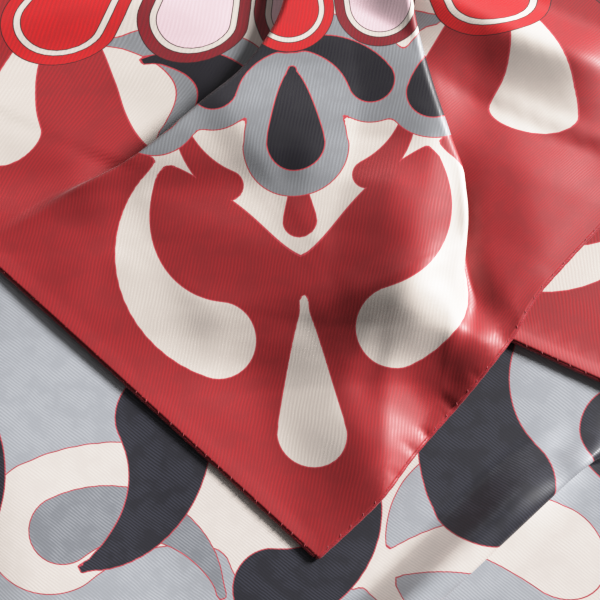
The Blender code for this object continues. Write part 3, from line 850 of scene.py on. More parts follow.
def make_twill_group():
    """Slanted lines that waver and fade in patches, with the specks of single threads."""
    tree, given, made = new_group(
        "silk_twill", [("Place", "Vector"), ("Angle", "Float"), ("Spacing", "Float")],
        [("Height", "Float"), ("Lines", "Float"), ("Specks", "Float")])
    place = given.outputs["Place"]
    slow = add_node(tree, "ShaderNodeTexNoise", [("Vector", place), ("Scale", 45.0), ("Detail", 2.0)])
    waver = calculate(tree, "MULTIPLY", calculate(tree, "SUBTRACT", slow.outputs["Fac"], 0.5), WAVER)
    shift = add_node(tree, "ShaderNodeCombineXYZ", [("X", waver), ("Y", 0.0), ("Z", 0.0)])
    turned_place = add_node(tree, "ShaderNodeVectorRotate",
                            [("Vector", place), ("Angle", given.outputs["Angle"])],
                            rotation_type="Z_AXIS")
    wavered = add_node(tree, "ShaderNodeVectorMath",
                       [(0, turned_place.outputs[0]), (1, shift.outputs[0])], operation="ADD")
    scale = calculate(tree, "DIVIDE", WAVE_PERIOD, given.outputs["Spacing"])
    lines = add_node(tree, "ShaderNodeTexWave",
                     [("Vector", wavered.outputs[0]), ("Scale", scale), ("Distortion", 0.6),
                      ("Detail", 1.0), ("Detail Scale", 1.5)],
                     wave_type="BANDS", bands_direction="X", wave_profile="SIN")
    specks = add_node(tree, "ShaderNodeTexNoise",
                      [("Vector", wavered.outputs[0]), ("Scale", 2200.0), ("Detail", 1.0)])
    patches = add_node(tree, "ShaderNodeTexNoise", [("Vector", place), ("Scale", 130.0)])
    strength = ramp(tree, patches.outputs["Fac"], 0.35, 0.65, 0.45, 1.0)
    line = calculate(tree, "MULTIPLY", lines.outputs["Fac"], strength)
    height = calculate(tree, "MULTIPLY_ADD", specks.outputs["Fac"], SPECK_HEIGHT, line)
    tree.links.new(height, made.inputs["Height"])
    tree.links.new(line, made.inputs["Lines"])
    tree.links.new(specks.outputs["Fac"], made.inputs["Specks"])
    return tree


twill_group = make_twill_group()
print(twill_group.name, "has", len(twill_group.nodes), "nodes")

# %% [markdown]
# ## The three finishes
# The face shows the print in full colour. The reverse shows the same print a little paler and
# bluer, because the dye has come through from the other side. The rolled hems and their thread are
# border red, without a print. All have silk's soft, broad shine: a middling roughness and a thin
# sheen. More sheen would turn them into velvet, and less roughness into satin.

# %% The inks
INKS = {
    "ground": srgb(167, 37, 42), "ivory": srgb(224, 212, 203), "grey": srgb(144, 146, 150),
    "pale_grey": srgb(168, 170, 174), "black": srgb(24, 20, 30), "scarlet": srgb(214, 30, 34),
    "pink": srgb(243, 208, 216), "wine": srgb(140, 28, 38), "red_line": srgb(205, 62, 74),
    "dark_line": srgb(52, 22, 26), "hem_shade": srgb(150, 28, 38), "hem_light": srgb(178, 44, 54),
    # the two groove inks are painted shade for the grooves between the twill lines
    "undyed": srgb(196, 204, 232), "face_groove_painted_shade": srgb(224, 222, 222),
    "reverse_groove_painted_shade": srgb(198, 200, 206),
}
RED_LINE = 0.00019
DARK_LINE = 0.00014
PETAL_RIM = 0.0035
PETAL_GAP = 0.0055
PRINTED = (("medallion", "pale_grey"), ("pale", "ivory"), ("grey", "grey"), ("black", "black"))
PETALS = (("wine", "wine", "pink"), ("pink", "wine", "pink"), ("scarlet", "scarlet", "scarlet"))


def printed_colour(tree):
    """The whole print as one colour, painted shape over shape."""

    def paint(under, distance, fill, outline="red_line", line=RED_LINE):
        shape = add_group(tree, shape_group, [("Under", under), ("Distance", distance),
                                              ("Fill", INKS[fill]), ("Outline", INKS[outline]),
                                              ("Line", line)])
        return shape.outputs["Colour"]

    far = {c: add_node(tree, "ShaderNodeAttribute", attribute_name=c).outputs["Fac"] for c in COLOURS}
    outside_red = calculate(tree, "MULTIPLY", far["red"], -1)   # red commas are bare ground in the ivory
    colour = paint(INKS["ground"], calculate(tree, "MAXIMUM", far["ivory"], outside_red), "ivory")
    for name, fill in PRINTED:
        colour = paint(colour, far[name], fill)
    for name, rim, body in PETALS:
        colour = paint(colour, far[name], rim, "dark_line", DARK_LINE)
        for inset, fill in ((PETAL_RIM, "ivory"), (PETAL_GAP, body)):
            inner = calculate(tree, "ADD", far[name], inset)
            colour = paint(colour, inner, fill, "dark_line", DARK_LINE)
    return colour


print("the inks are", ", ".join(INKS))

# %% [markdown]
# The weave changes each finish a little. The grooves between the lines get painted shade: they are
# darker in colour, most of all in the dark inks, and less in pale ink. On the reverse the raised lines
# took less dye. The lines are also a little smoother than the grooves, and stand up by a hair.


# %% The face, the reverse, the hems and the thread
def silk(name, twill_angle, spacing, printed=True, reverse=False):
    """A twill silk material."""
    made = bpy.data.materials.new(name)
    made.use_nodes = True
    tree = made.node_tree
    shader = tree.nodes["Principled BSDF"]
    cloth = add_node(tree, "ShaderNodeUVMap", uv_map="cloth").outputs["UV"]
    twill = add_group(tree, twill_group, [("Place", cloth), ("Angle", math.radians(twill_angle)),
                                          ("Spacing", spacing)])
    if printed:
        colour = printed_colour(tree)
    else:
        shade = ramp(tree, twill.outputs["Specks"], 0.3, 0.7, 0.0, 1.0)
        colour = blend(tree, "MIX", shade, INKS["hem_shade"], INKS["hem_light"])
    if reverse:
        missed = ramp(tree, twill.outputs["Lines"], 0.2, 0.8, 0.012, 0.048)
        colour = blend(tree, "MIX", missed, colour, INKS["undyed"])
    # Painted shade: the colour is darkened in the grooves between the twill lines, more in dark inks.
    brightness = add_node(tree, "ShaderNodeRGBToBW", [("Color", colour)]).outputs["Val"]
    shown = ramp(tree, brightness, 0.12, 0.55, 1.0, 0.3)
    groove = blend(tree, "MULTIPLY", shown, colour, INKS["reverse_groove_painted_shade" if reverse else "face_groove_painted_shade"])
    on_line = ramp(tree, twill.outputs["Lines"], 0.1, 0.8, 0.0, 1.0)
    tree.links.new(blend(tree, "MIX", on_line, groove, colour), shader.inputs["Base Color"])
    bump = add_node(tree, "ShaderNodeBump", [("Height", twill.outputs["Height"]), ("Strength", 0.12),
                                             ("Distance", 0.00012)])
    tree.links.new(bump.outputs["Normal"], shader.inputs["Normal"])
    tree.links.new(ramp(tree, twill.outputs["Lines"], 0.0, 1.0, 0.54, 0.44), shader.inputs["Roughness"])
    shader.inputs["Specular IOR Level"].default_value = 0.6
    shader.inputs["Sheen Weight"].default_value = 0.08
    shader.inputs["Sheen Roughness"].default_value = 0.4
    return made


face_silk = silk("silk_face", 14, 0.00120)
reverse_silk = silk("silk_reverse", 50, 0.00095, reverse=True)
hem_silk = silk("silk_hem", 35, 0.0009, printed=False)
thread = silk("silk_thread", 0, 0.0004, printed=False)
print("finishes:", face_silk.name, reverse_silk.name, hem_silk.name, thread.name)

# %% [markdown]
# ## From a flat grid to folded cloth
# Each stretch of cloth starts as a flat grid of squares, is trimmed along its hems with straight
# cuts, and only then has its points moved into the folds. While the grid is still flat, each point
# knows its place on the cut square, so the print and the weave are fixed to it first. Solidify then
# gives the silk its third of a millimetre.


# %% Grid and trim
CLIMB_LINES = (0.0016, 0.0025, 0.0036, 0.0048, 0.0062)   # where the climb needs points of its own


def cut_line(bm, point, outward, **settings):
    """Cuts new edges along a line through point, at right angles to outward."""
    bmesh.ops.bisect_plane(bm, geom=bm.verts[:] + bm.edges[:] + bm.faces[:], dist=1e-6,
                           plane_co=(*point, 0), plane_no=(*outward, 0), **settings)


def flat_grid(columns, rows):
    """A flat grid with lines at these x and y."""
    bm = bmesh.new()
    bmesh.ops.create_grid(bm, x_segments=len(columns) - 1, y_segments=len(rows) - 1, size=0.5)
    for v in bm.verts:
        i = round((v.co.x + 0.5) * (len(columns) - 1))
        j = round((v.co.y + 0.5) * (len(rows) - 1))
        v.co = (columns[i], rows[j], 0)
    return bm


def trim(bm, point, outward):
    """Cuts off what lies beyond a line through point."""
    cut_line(bm, point, outward, clear_outer=True)


def trim_hem(bm, point, outward):
    """Cuts a panel along its hem, and adds lines of points where it climbs the roll."""
    trim(bm, point - outward * ROLL, outward)
    for distance in CLIMB_LINES:
        cut_line(bm, point - outward * distance, outward)


print("the climb to a roll has", len(CLIMB_LINES), "lines of points")


# %% From a trimmed grid to a piece of silk
MERGE = 0.0001


def set_uv(mesh, places):
    """Gives the mesh its UV map of the flat cloth, one place for each face corner."""
    uv = mesh.uv_layers.get("cloth") or mesh.uv_layers.new(name="cloth")
    uv.data.foreach_set("uv", places.astype(np.float32).ravel())


def panel(name, bm, place, to_cut, finish):
    """Folds a trimmed flat grid. to_cut gives each point's place on the square."""
    bmesh.ops.remove_doubles(bm, verts=bm.verts, dist=MERGE)
    bmesh.ops.triangulate(bm, faces=[f for f in bm.faces if len(f.verts) > 4])
    flat = np.array([v.co.xy for v in bm.verts])
    mesh = bpy.data.meshes.new(name)
    bm.to_mesh(mesh)
    bm.free()
    cut = to_cut(flat)
    mesh.vertices.foreach_set("co", (place(flat) - OUTLINE_MIDDLE).astype(np.float32).ravel())
    for colour, distances in print_distances(cut).items():
        kept = mesh.attributes.new(colour, "FLOAT", "POINT")
        kept.data.foreach_set("value", distances.astype(np.float32))
    corners = np.empty(len(mesh.loops), np.int32)
    mesh.loops.foreach_get("vertex_index", corners)
    set_uv(mesh, cut[corners])
    mesh.shade_smooth()
    mesh.materials.append(finish)
    piece = bpy.data.objects.new(name, mesh)
    bpy.context.scene.collection.objects.link(piece)
    wall = piece.modifiers.new("wall", "SOLIDIFY")
    wall.thickness = SILK
    wall.offset = 0
    wall.use_even_offset = False
    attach(piece, "root")
    print(name, "has", len(mesh.polygons), "faces")
    return piece


print("the silk is", SILK * 1000, "mm thick")

# %% [markdown]
# ## The corner flap
# The flap is the corner that was brought forward. Its grid's columns follow the pleat: they are
# numbered by stations, from 0 at the far left through the two fold zones to 6 at the right edge,
# so that each fold gets its own dense columns and none is wasted. Where the flap meets its rolled
# hem, the hem wanders a few millimetres, because silk cut on the square still stretches at its edge.

# %% The hem's wander and puckers
Wander = namedtuple("Wander", "y out")
RIGHT_WANDER = [Wander(0.000, 0.0), Wander(0.031, 0.0028), Wander(0.050, 0.0013),
                Wander(0.059, 0.0010), Wander(0.072, 0.0011), Wander(0.103, -0.0003),
                Wander(0.117, -0.0031), Wander(0.128, -0.0040), Wander(0.170, -0.0030),
                Wander(0.260, 0.0), Wander(0.333, 0.0)]
WANDER_REACH = 0.045
Pucker = namedtuple("Pucker", "along reach half_width depth")
RIGHT_PUCKERS = [Pucker(0.0507, 0.0100, 0.0016, 0.0005), Pucker(0.0584, 0.0080, 0.0015, 0.0006),
                 Pucker(0.0718, 0.0130, 0.0021, 0.0007), Pucker(0.0400, 0.0070, 0.0015, 0.0003),
                 Pucker(0.0850, 0.0080, 0.0017, 0.0003), Pucker(0.0960, 0.0070, 0.0015, 0.0003)]


def hem_shift(spots):
    """Moves points of the folded flap with the wander and the puckers of its right hem."""
    moved = spots.copy()
    along, inside = spots[:, :2] @ RIGHT_HEM, spots[:, :2] @ LEFT_HEM
    out = reading(RIGHT_WANDER, "out", along) * (1 - smooth(inside / WANDER_REACH))
    moved[:, :2] -= np.outer(out, LEFT_HEM)
    for pucker in RIGHT_PUCKERS:
        dip = bump_at(along - pucker.along, pucker.half_width) * (1 - smooth(inside / pucker.reach))
        moved[:, 2] -= pucker.depth * dip
    return moved


print("the right hem has", len(RIGHT_PUCKERS), "puckers")


# %% The columns of the flap's grid
FLAP_LEFT = -0.450
TRIM_LIP = math.pi * TRIM_ROLL + 0.002   # what is turned under at the trimmed side
TRIM_LIP_END, TRIM_LIP_FADE = 0.050, 0.030


def flap_column(stations, y):
    """x of the grid's lines at y."""
    left_x, _, left_under = pleat_at(y, "left")
    right_x, _, right_under = pleat_at(y, "right")
    trim_x = TURN_END[0] + (y - FLAP_DEPTH) * TRIM_FOLD[0] / TRIM_FOLD[1]
    lip = TRIM_LIP * (1 - smooth((y - FLAP_DEPTH + TRIM_LIP_END) / TRIM_LIP_FADE))
    stops = np.stack([np.full_like(y, FLAP_LEFT), left_x + PLEAT_RADIUS - 2 * PLEAT_BEND - left_under,
                      left_x + PLEAT_RADIUS, right_x - PLEAT_RADIUS,
                      right_x - PLEAT_RADIUS + 2 * PLEAT_BEND + right_under, trim_x,
                      trim_x + lip / TRIM_FOLD_OUT[0]])
    k = np.minimum(stations.astype(int), len(stops) - 2)
    row = np.arange(len(y))
    return stops[k, row] + (stops[k + 1, row] - stops[k, row]) * (stations - k)


print("what is turned under at the trimmed side is", round(TRIM_LIP * 1000), "mm wide")


# %% Make the flap
STATION_STOPS, STATION_COUNTS = (0, 0.4, 1, 2, 3, 4, 5, 6), (10, 96, 20, 84, 20, 54, 8)
ROW_STOPS, ROW_COUNTS = (0, 0.250, 0.395, FLAP_DEPTH), (190, 30, 10)
ROLL_ROWS = 12   # steps of a grid round a soft roll


def make_flap():
    """The flap, whose grid ends in rows for the rear roll."""
    stations = in_stretches(STATION_STOPS, STATION_COUNTS)
    rows = in_stretches(ROW_STOPS, ROW_COUNTS)[:-1]
    rows += [FLAP_DEPTH + s * math.pi * REAR_ROLL for s in spread(0, 1, ROLL_ROWS)]
    bm = flat_grid(stations, rows)
    spots = np.array([v.co for v in bm.verts])
    columns = flap_column(spots[:, 0], np.minimum(spots[:, 1], FLAP_DEPTH))
    for v, x in zip(bm.verts, columns):
        v.co.x = x
    trim_hem(bm, np.zeros(2), -LEFT_HEM)
    trim_hem(bm, np.zeros(2), -RIGHT_HEM)
    for v in bm.verts:
        if v.co.y > FLAP_DEPTH:   # the rear roll's end is square
            v.co.x = max(v.co.x, math.sqrt(2) * ROLL - FLAP_DEPTH)
    return panel("silk_corner_flap", bm, lambda p: hem_shift(place_flap(p)), lambda p: p, face_silk)


flap = make_flap()
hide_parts("corner_flap")

# %% [markdown]
# The right side panel is pulled askew, so its threads run another way than those beside it. Only
# the UV map is turned there. The print reads the attributes and stays as it is.


# %% Slant the side panel's weave
SIDE_PANEL_TIP = np.array([0.046, 0.098])
SIDE_PANEL_EDGE = direction(38, -32.5)   # the small valley where the right side panel ends
SIDE_PANEL_TURN = math.radians(35)
SIDE_PANEL_FINER = 1.3


def turn_side_threads(mesh):
    """Slants the weave of the right side panel. The flap's UVs are its flat places themselves."""
    flat = np.empty(2 * len(mesh.loops), np.float32)
    mesh.uv_layers["cloth"].data.foreach_get("uv", flat)
    flat = flat.reshape(-1, 2)
    first, size = np.empty((2, len(mesh.polygons)), np.int32)
    mesh.polygons.foreach_get("loop_start", first)
    mesh.polygons.foreach_get("loop_total", size)
    middle = np.add.reduceat(flat, first) / size[:, None]
    beside = middle[:, 0] > pleat_at(middle[:, 1], "right")[0]
    behind = (middle - SIDE_PANEL_TIP) @ quarter_turn(SIDE_PANEL_EDGE) > 0
    turned_here = np.repeat(beside & behind, size)
    folded = np.column_stack([pleated(flat)[0], flat[:, 1]])
    cos, sin = math.cos(SIDE_PANEL_TURN), math.sin(SIDE_PANEL_TURN)
    slanted = folded @ np.array([[cos, sin], [-sin, cos]]) * SIDE_PANEL_FINER
    set_uv(mesh, np.where(turned_here[:, None], slanted, flat))


turn_side_threads(flap.data)
print("the side panel's weave is turned by", round(math.degrees(SIDE_PANEL_TURN)), "degrees")

# %% [markdown]
# ## The lower cloth and the turned corner
# Both are the same square, seen from the other side or folded in, so only their map back to the
# flat square differs: the lower cloth is mirrored over the rear fold, and the turned corner over
# its side fold first. All three stretches could be one mesh, but grids of their own let each have
# its fine lines where its own folds are, and one colour of silk on top.


# %% The lower cloth
NEAR_FINE, FAR_FINE = 0.186, 0.452   # the stretch that the flap leaves open
LOWER_COUNTS = (15, 120, 36)   # steps before it, along it and after it
RIDGE_ROWS = 22
RIDGE_SHEAR_REACH = 0.050
ROW_GAP = 0.001   # the least between the ridge's own rows and the others


def over_rear_fold(p):
    """Place on the cut square of a point of the cloth that still lies on the table."""
    return np.column_stack([p[:, 0], 2 * FLAP_DEPTH - p[:, 1]])


def make_lower():
    """The lower cloth, with rows of its own for the knife ridge."""
    along = in_stretches((0, NEAR_FINE, FAR_FINE, SIDE), LOWER_COUNTS)
    ridge_zone = 2 * RIDGE_BEND + RIDGE_UNDER
    ridge_start = RIDGE_EDGE + RIDGE_RADIUS
    ridge_rows = [ridge_start - ridge_zone * (1 - s) for s in spread(0, 1, RIDGE_ROWS)]
    across = ([b for b in along if b < ridge_rows[0] - ROW_GAP] + ridge_rows
              + [b for b in along if b > ridge_rows[-1] + ROW_GAP])
    bm = flat_grid(along, across)
    for v in bm.verts:   # the dense rows follow the slanted ridge
        v.co.y += ridge_shift(v.co.x) * bump_at(v.co.y - RIDGE_EDGE, RIDGE_SHEAR_REACH)
    trim_hem(bm, np.zeros(2), np.array([-1, 0]))
    trim_hem(bm, np.zeros(2), np.array([0, -1]))
    trim(bm, (0, SIDE - ROLL), (0, 1))
    side_fold = drawing_to_hem(TURN_START - NEAR_CORNER + SIDE_FOLD_IN * GAP)
    rear_fold = drawing_to_hem(np.array([0, FLAP_DEPTH - GAP]) - NEAR_CORNER)
    trim(bm, side_fold, drawing_to_hem(-SIDE_FOLD_IN))
    trim(bm, rear_fold, (1, 1))
    return panel("silk_lower_cloth", bm, place_lower, lambda p: over_rear_fold(hem_to_drawing(p)),
                 reverse_silk)


lower = make_lower()
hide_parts("lower_cloth")


# %% The turned corner's grid
def over_side_fold(p):
    """The turned corner's points, opened out again."""
    inside = (p - TURN_START) @ SIDE_FOLD_IN
    return p - 2 * np.outer(inside, SIDE_FOLD_IN)


TURN_FINE, TURN_COARSE = (0.003, 0.060, 16), (0.066, 0.400, 60)   # its lines inward: from, to, steps
TURN_ALONG = (0, 0.530, 110)   # and those along its side fold
TURN_SHORT = 0.006   # it ends this far before the rear fold


def make_turn():
    """The turned corner, whose grid lies along its side fold."""
    roll = math.pi * SIDE_ROLL
    inward = [-roll * (1 - s) for s in spread(0, 1, ROLL_ROWS)]
    inward += spread(*TURN_FINE) + spread(*TURN_COARSE)
    bm = flat_grid(inward, spread(*TURN_ALONG))
    for v in bm.verts:
        v.co = (*(TURN_START + SIDE_FOLD_IN * v.co.x + SIDE_FOLD * v.co.y), 0)
    trim_hem(bm, TURN_START, TURN_HEM_OUT)
    trim(bm, TURN_START + SIDE_FOLD * ROLL, -SIDE_FOLD)
    hidden_tip = TURN_START + TURN_HEM * (SIDE - math.dist(TURN_START, NEAR_CORNER))
    trim(bm, hidden_tip - TURN_HEM * ROLL, TURN_HEM)
    trim(bm, (0, FLAP_DEPTH - TURN_SHORT), (0, 1))
    return panel("silk_turned_corner", bm, place_turn, lambda p: over_rear_fold(over_side_fold(p)),
                 face_silk)


turn = make_turn()
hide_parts("right_turn")

# %% [markdown]
# ## Rolled hems
# The edge of a good silk square is rolled by hand and caught with slanted stitches. The roll is a
# grid that is wrapped round the hem's line: one way of the grid runs along it, the other round it.
# Its radius goes to nothing at both ends, which closes them, and dips a little at every stitch.
# A curve with a round bevel would be a tube too, but it knows nothing of stitches.

# %% The roll's thickness and line
HEM_STEP = 0.0012
STITCH_STEP = 0.0058
STITCH_DIP = 0.13
STITCH_DIP_WIDTH = 0.0008
ROLL_FLATNESS = 1.12
UNEVEN = ((0.05, 0.0041, 0), (0.04, 0.0109, 1))   # share of the radius, reach and start of each wave


def plump(distance, length):
    """The roll's radius along the hem: rounded ends, a dip at each stitch, slight unevenness."""
    from_end = np.minimum(distance, length - distance)
    ends = np.sqrt(np.clip(1 - np.clip(1 - from_end / ROLL, 0, 1) ** 2, 0, 1))
    to_stitch = (distance + STITCH_STEP / 2) % STITCH_STEP - STITCH_STEP / 2
    uneven = sum(share * np.sin(distance / reach + start) for share, reach, start in UNEVEN)
    return ROLL * ends * (1 + uneven - STITCH_DIP * bump_at(to_stitch, STITCH_DIP_WIDTH))


def along_line(points, step):
    """The line through points, read at even steps, and the distances of the readings."""
    points = np.array(points, float)
    runs = np.concatenate([[0], np.cumsum(np.linalg.norm(np.diff(points, axis=0), axis=1))])
    distance = np.array(spread(0, runs[-1], max(int(runs[-1] / step), 2)))
    return np.stack([np.interp(distance, runs, points[:, k]) for k in range(3)], 1), distance


def directions(line, inward):
    """Unit vectors along a line, across it on the cloth's side, and up from it."""
    forward = np.gradient(line, axis=0)
    forward /= np.linalg.norm(forward, axis=1)[:, None]
    across = np.append(inward, 0) - forward * (forward @ np.append(inward, 0))[:, None]
    across /= np.linalg.norm(across, axis=1)[:, None]
    up = np.cross(forward, across)
    up *= np.sign(up[len(up) // 3, 2])
    return forward, across, up


print("a hem's stitches are", STITCH_STEP * 1000, "mm apart")


# %% Wrap a roll round a line
ROLL_SIDES = 12


def joined_piece(name, bm, finish):
    """Makes a piece of a hem from its bmesh."""
    mesh = bpy.data.meshes.new(name)
    bm.to_mesh(mesh)
    bm.free()
    mesh.shade_smooth()
    mesh.materials.append(finish)
    piece = bpy.data.objects.new(name, mesh)
    bpy.context.scene.collection.objects.link(piece)
    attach(piece, "root")
    return piece


def rolled_hem(name, points, inward):
    """The roll, and its line with the directions along, across and up at each reading."""
    line, distance = along_line(points, HEM_STEP)
    forward, across, up = directions(line, inward)
    radius = plump(distance, distance[-1])
    bm = bmesh.new()
    bmesh.ops.create_grid(bm, x_segments=len(line) - 1, y_segments=ROLL_SIDES, size=0.5)
    uv = bm.loops.layers.uv.new("cloth")
    for face in bm.faces:
        for loop in face.loops:
            along, around = loop.vert.co.x + 0.5, loop.vert.co.y + 0.5
            loop[uv].uv = (along * distance[-1], around * 2 * math.pi * ROLL)
    for v in bm.verts:
        k = round((v.co.x + 0.5) * (len(line) - 1))
        angle = (v.co.y + 0.5) * 2 * math.pi
        round_it = across[k] * math.cos(angle) * ROLL_FLATNESS + up[k] * math.sin(angle)
        v.co = line[k] + round_it * radius[k] - OUTLINE_MIDDLE
    bmesh.ops.remove_doubles(bm, verts=bm.verts, dist=1e-6)
    bmesh.ops.recalc_face_normals(bm, faces=bm.faces)
    piece = joined_piece(name, bm, hem_silk)
    print(name, "is", round(distance[-1] * 1000), "mm long")
    return piece, line, forward, across, up


print("a roll has", ROLL_SIDES, "sides")

# %% [markdown]
# The stitches are short slanted loops of thread that dip into the groove between roll and cloth.
# Each is a small ball stretched into a grain of rice, and all those of one hem are one mesh.
# Curves would draw truer thread, at many times the faces, for what is less than 2 mm long.

# %% Stitches along a hem
STITCH_LENGTH = 0.0008
STITCH_THICKNESS = 0.00013
STITCH_IN = 0.2   # how far towards the cloth it sits, as a share of the roll's radius
STITCH_ACROSS, STITCH_ALONG, STITCH_DOWN = 0.8, 0.5, 0.2   # how it slants


def stitches(name, line, forward, across, up):
    """All the stitches along one hem."""
    bm = bmesh.new()
    for distance in np.arange(STITCH_STEP, (len(line) - 1) * HEM_STEP - STITCH_STEP / 2, STITCH_STEP):
        k = min(round(distance / HEM_STEP), len(line) - 1)
        slant = across[k] * STITCH_ACROSS + forward[k] * STITCH_ALONG - up[k] * STITCH_DOWN
        lengthwise = Vector(slant).normalized()
        beside, above = across[k] * ROLL * STITCH_IN, up[k] * (ROLL + SILK / 2)
        spot = Vector(line[k] + beside + above - OUTLINE_MIDDLE)
        turn_it = lengthwise.to_track_quat("Z", "Y").to_matrix().to_4x4()
        stretch = Matrix.Diagonal((STITCH_THICKNESS, STITCH_THICKNESS, STITCH_LENGTH, 1))
        bmesh.ops.create_uvsphere(bm, u_segments=6, v_segments=5, radius=1,
                                  matrix=Matrix.Translation(spot) @ turn_it @ stretch, calc_uvs=False)
    uv = bm.loops.layers.uv.new("cloth")
    for face in bm.faces:
        for loop in face.loops:
            loop[uv].uv = loop.vert.co.xy
    return joined_piece(name, bm, thread)


print("a stitch is", STITCH_LENGTH * 2000, "mm long")

# %% [markdown]
# The hems' lines repeat the cloth's own formulas, so each roll sits exactly on its panel's edge.
# The upper left hem goes on round the rear roll and down along the cloth that lies below.


# %% The lines of the five hems
FLAP_HEM_POINTS = 240
FLAP_RIGHT_END = 0.333   # where the flap's trimmed side cuts off its right hem
UPPER_LEFT = (0.0010, 0.600)   # from the flap's tip to the rear roll
UPPER_LEFT_BELOW = (0.010, 0.2914, 20)   # and from there along the lower cloth, in steps
LOWER_START, LOWER_STEPS = 0.001, 20
CORNER_SHORT, FOLD_SHORT = 0.0025, 0.006   # the lower hems end this far before a corner and a fold
TURNED_ROLL = (0.2 * math.pi, math.pi, 8)   # angles round the side roll
TURNED_ALONG = (0.012, 0.370, 120)


def on_flap(hem_direction, inward, first, last):
    """Points of a flap hem's middle line."""
    flat = np.outer(spread(first, last, FLAP_HEM_POINTS), hem_direction) + inward * ROLL
    level = flap_level(*flat.T) - HEM_BELOW
    return hem_shift(np.column_stack([flat, level]))


def upper_left_line():
    """From the flap's tip, round the rear roll and on along the lower cloth."""
    points = list(on_flap(LEFT_HEM, RIGHT_HEM, *UPPER_LEFT))
    corner = np.array([-FLAP_DEPTH, FLAP_DEPTH]) + RIGHT_HEM * ROLL
    for angle in spread(0, math.pi, ROLL_ROWS):
        points.append((corner[0], corner[1] + REAR_ROLL * math.sin(angle),
                       REAR_LEVEL - (REAR_LEVEL - HEM_RADIUS) / 2 * (1 - math.cos(angle))))
    return points + [(*(corner - RIGHT_HEM * d), HEM_RADIUS) for d in spread(*UPPER_LEFT_BELOW)]


def lower_line(hem_direction, inward, last):
    """Along the table from the near corner."""
    return [(*(NEAR_CORNER + hem_direction * d + inward * ROLL), HEM_RADIUS)
            for d in spread(LOWER_START, last, LOWER_STEPS)]


def turned_line():
    """Round the side roll from below, and on over the turned corner."""
    start = TURN_START + SIDE_FOLD * ROLL
    points = [(*(start + SIDE_FOLD_IN * 0.0005), HEM_RADIUS)]
    for angle in spread(*TURNED_ROLL):
        height = HEM_RADIUS + (2 * SIDE_ROLL + LOWER_LEVEL - HEM_RADIUS) / 2 * (1 - math.cos(angle))
        points.append((*(start - SIDE_FOLD_IN * SIDE_ROLL * math.sin(angle)), height))
    for d in spread(*TURNED_ALONG):
        p = TURN_START + TURN_HEM * d - TURN_HEM_OUT * ROLL
        points.append((*p, turned_level(p) + HEM_RADIUS - WALL / 2))
    return points


right_hem_length = math.dist(TURN_START, NEAR_CORNER)
print("the near right hem shows for", round(right_hem_length * 1000), "mm")

# %% Roll and stitch the hems
HEMS = [
    ("flap_right", on_flap(RIGHT_HEM, LEFT_HEM, 0.0, FLAP_RIGHT_END), LEFT_HEM),
    ("upper_left", upper_left_line(), RIGHT_HEM),
    ("lower_left", lower_line(LEFT_HEM, RIGHT_HEM, SIDE - CORNER_SHORT), RIGHT_HEM),
    ("lower_right", lower_line(RIGHT_HEM, LEFT_HEM, right_hem_length - FOLD_SHORT), LEFT_HEM),
    ("right_turn", turned_line(), -TURN_HEM_OUT),
]
rolled = {}
for hem_name, hem_points, hem_inward in HEMS:
    rolled[hem_name], *hem_line = rolled_hem("rolled_hem_" + hem_name, hem_points, hem_inward)
    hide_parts("hem_" + hem_name)
    rolled[hem_name + "_stitches"] = stitches("stitches_" + hem_name, *hem_line)

# %% [markdown]
# ## Table and light
# A pale table, one large soft lamp on the right and a faint one at the back, as in a studio. The
# lamps stand five metres off and low, so that every fold shows. A sun lamp would light the cloth as
# evenly, but an area lamp this wide has the soft shadows of a studio.

# %% The table
bpy.ops.mesh.primitive_plane_add(size=24)
table = bpy.context.object
table.name = "table"
paper = bpy.data.materials.new("pale_table")
paper.use_nodes = True
paper_shader = paper.node_tree.nodes["Principled BSDF"]
grain = add_node(paper.node_tree, "ShaderNodeTexNoise", [("Scale", 60.0), ("Detail", 4.0)])
tint = ramp(paper.node_tree, grain.outputs["Fac"], 0.3, 0.7, 0.0, 1.0)
paper.node_tree.links.new(blend(paper.node_tree, "MIX", tint, srgb(226, 224, 220), srgb(232, 230, 227)),
                          paper_shader.inputs["Base Color"])
paper_shader.inputs["Roughness"].default_value = 0.7
table.data.materials.append(paper)
print("the table is", round(table.dimensions.x), "m wide")

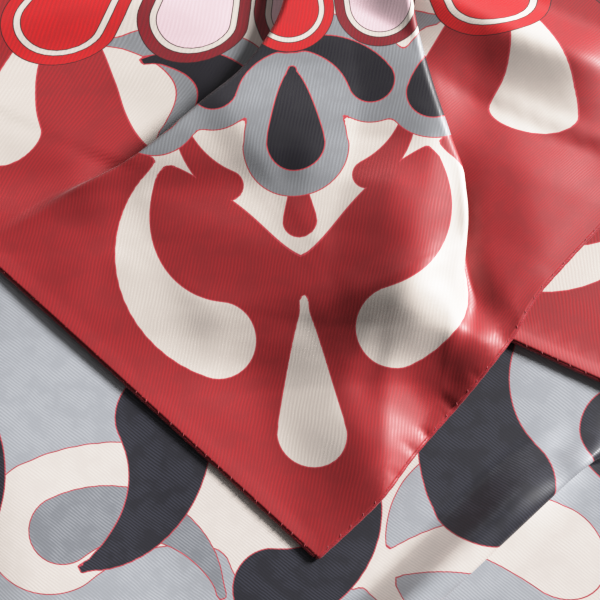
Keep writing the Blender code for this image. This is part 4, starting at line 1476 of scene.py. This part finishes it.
# %% The lamps
Lamp = namedtuple("Lamp", "name heading elevation distance size power")
LAMPS = [
    Lamp("key", 66, 26, 5.0, 1.4, 680),
    Lamp("fill", 350, 30, 5.0, 2.4, 48),
]
for lamp in LAMPS:
    light = bpy.data.lights.new(lamp.name, "AREA")
    light.shape = "DISK"
    light.size = lamp.size
    light.energy = lamp.power
    shining = bpy.data.objects.new(lamp.name, light)
    heading, height = math.radians(lamp.heading), math.radians(lamp.elevation)
    level_away = Vector((math.sin(heading), math.cos(heading), 0))
    away = level_away * math.cos(height) + Vector((0, 0, math.sin(height)))
    shining.location = looked_at + away * lamp.distance
    shining.rotation_euler = away.to_track_quat("Z", "Y").to_euler()
    bpy.context.scene.collection.objects.link(shining)
print("lamps:", [lamp.name for lamp in LAMPS])

# %% [markdown]
# The room round the table gives a faint even light. Seen by the camera it is paler than that, as
# a studio's bright backdrop is. A Light Path node tells the two apart.

# %% The studio's even light
WORLD_LIGHT, WORLD_SHOWN = 0.08, 0.85
world = bpy.data.worlds.new("studio")
world.use_nodes = True
backdrop = world.node_tree.nodes["Background"]
backdrop.inputs["Color"].default_value = (1.0, 0.99, 0.98, 1)
seen = add_node(world.node_tree, "ShaderNodeLightPath").outputs["Is Camera Ray"]
strength = ramp(world.node_tree, seen, 0.0, 1.0, WORLD_LIGHT, WORLD_SHOWN)
world.node_tree.links.new(strength, backdrop.inputs["Strength"])
bpy.context.scene.world = world
print("the even light's strength is", WORLD_LIGHT)

# %% [markdown]
# A camera's film takes the brightest places more gently than numbers do. Blender's AgX view does
# so too, but it pales strong reds. So the Standard view keeps its dark and middle tones, and a curve
# bends over above them. Lit ivory silk then still shows its weave.

# %% A soft shoulder for the brightest silk
BRIGHTEST = 2.0   # light this strong shows as white
SHOULDER = [(0.15, 0.15), (0.3, 0.3), (0.45, 0.45), (0.6, 0.595), (0.8, 0.75), (1.0, 0.855), (1.4, 0.95)]
view = bpy.context.scene.view_settings
view.view_transform = "Standard"
view.use_curve_mapping = True
view.curve_mapping.white_level = (BRIGHTEST, BRIGHTEST, BRIGHTEST)
shoulder = view.curve_mapping.curves[3].points
shoulder[0].location, shoulder[-1].location = (0, 0), (1, 1)
for strength, shown in SHOULDER:
    shoulder.new(strength / BRIGHTEST, shown)
for point in shoulder:
    point.handle_type = "AUTO_CLAMPED"
view.curve_mapping.update()
print("the shoulder has", len(shoulder), "points")
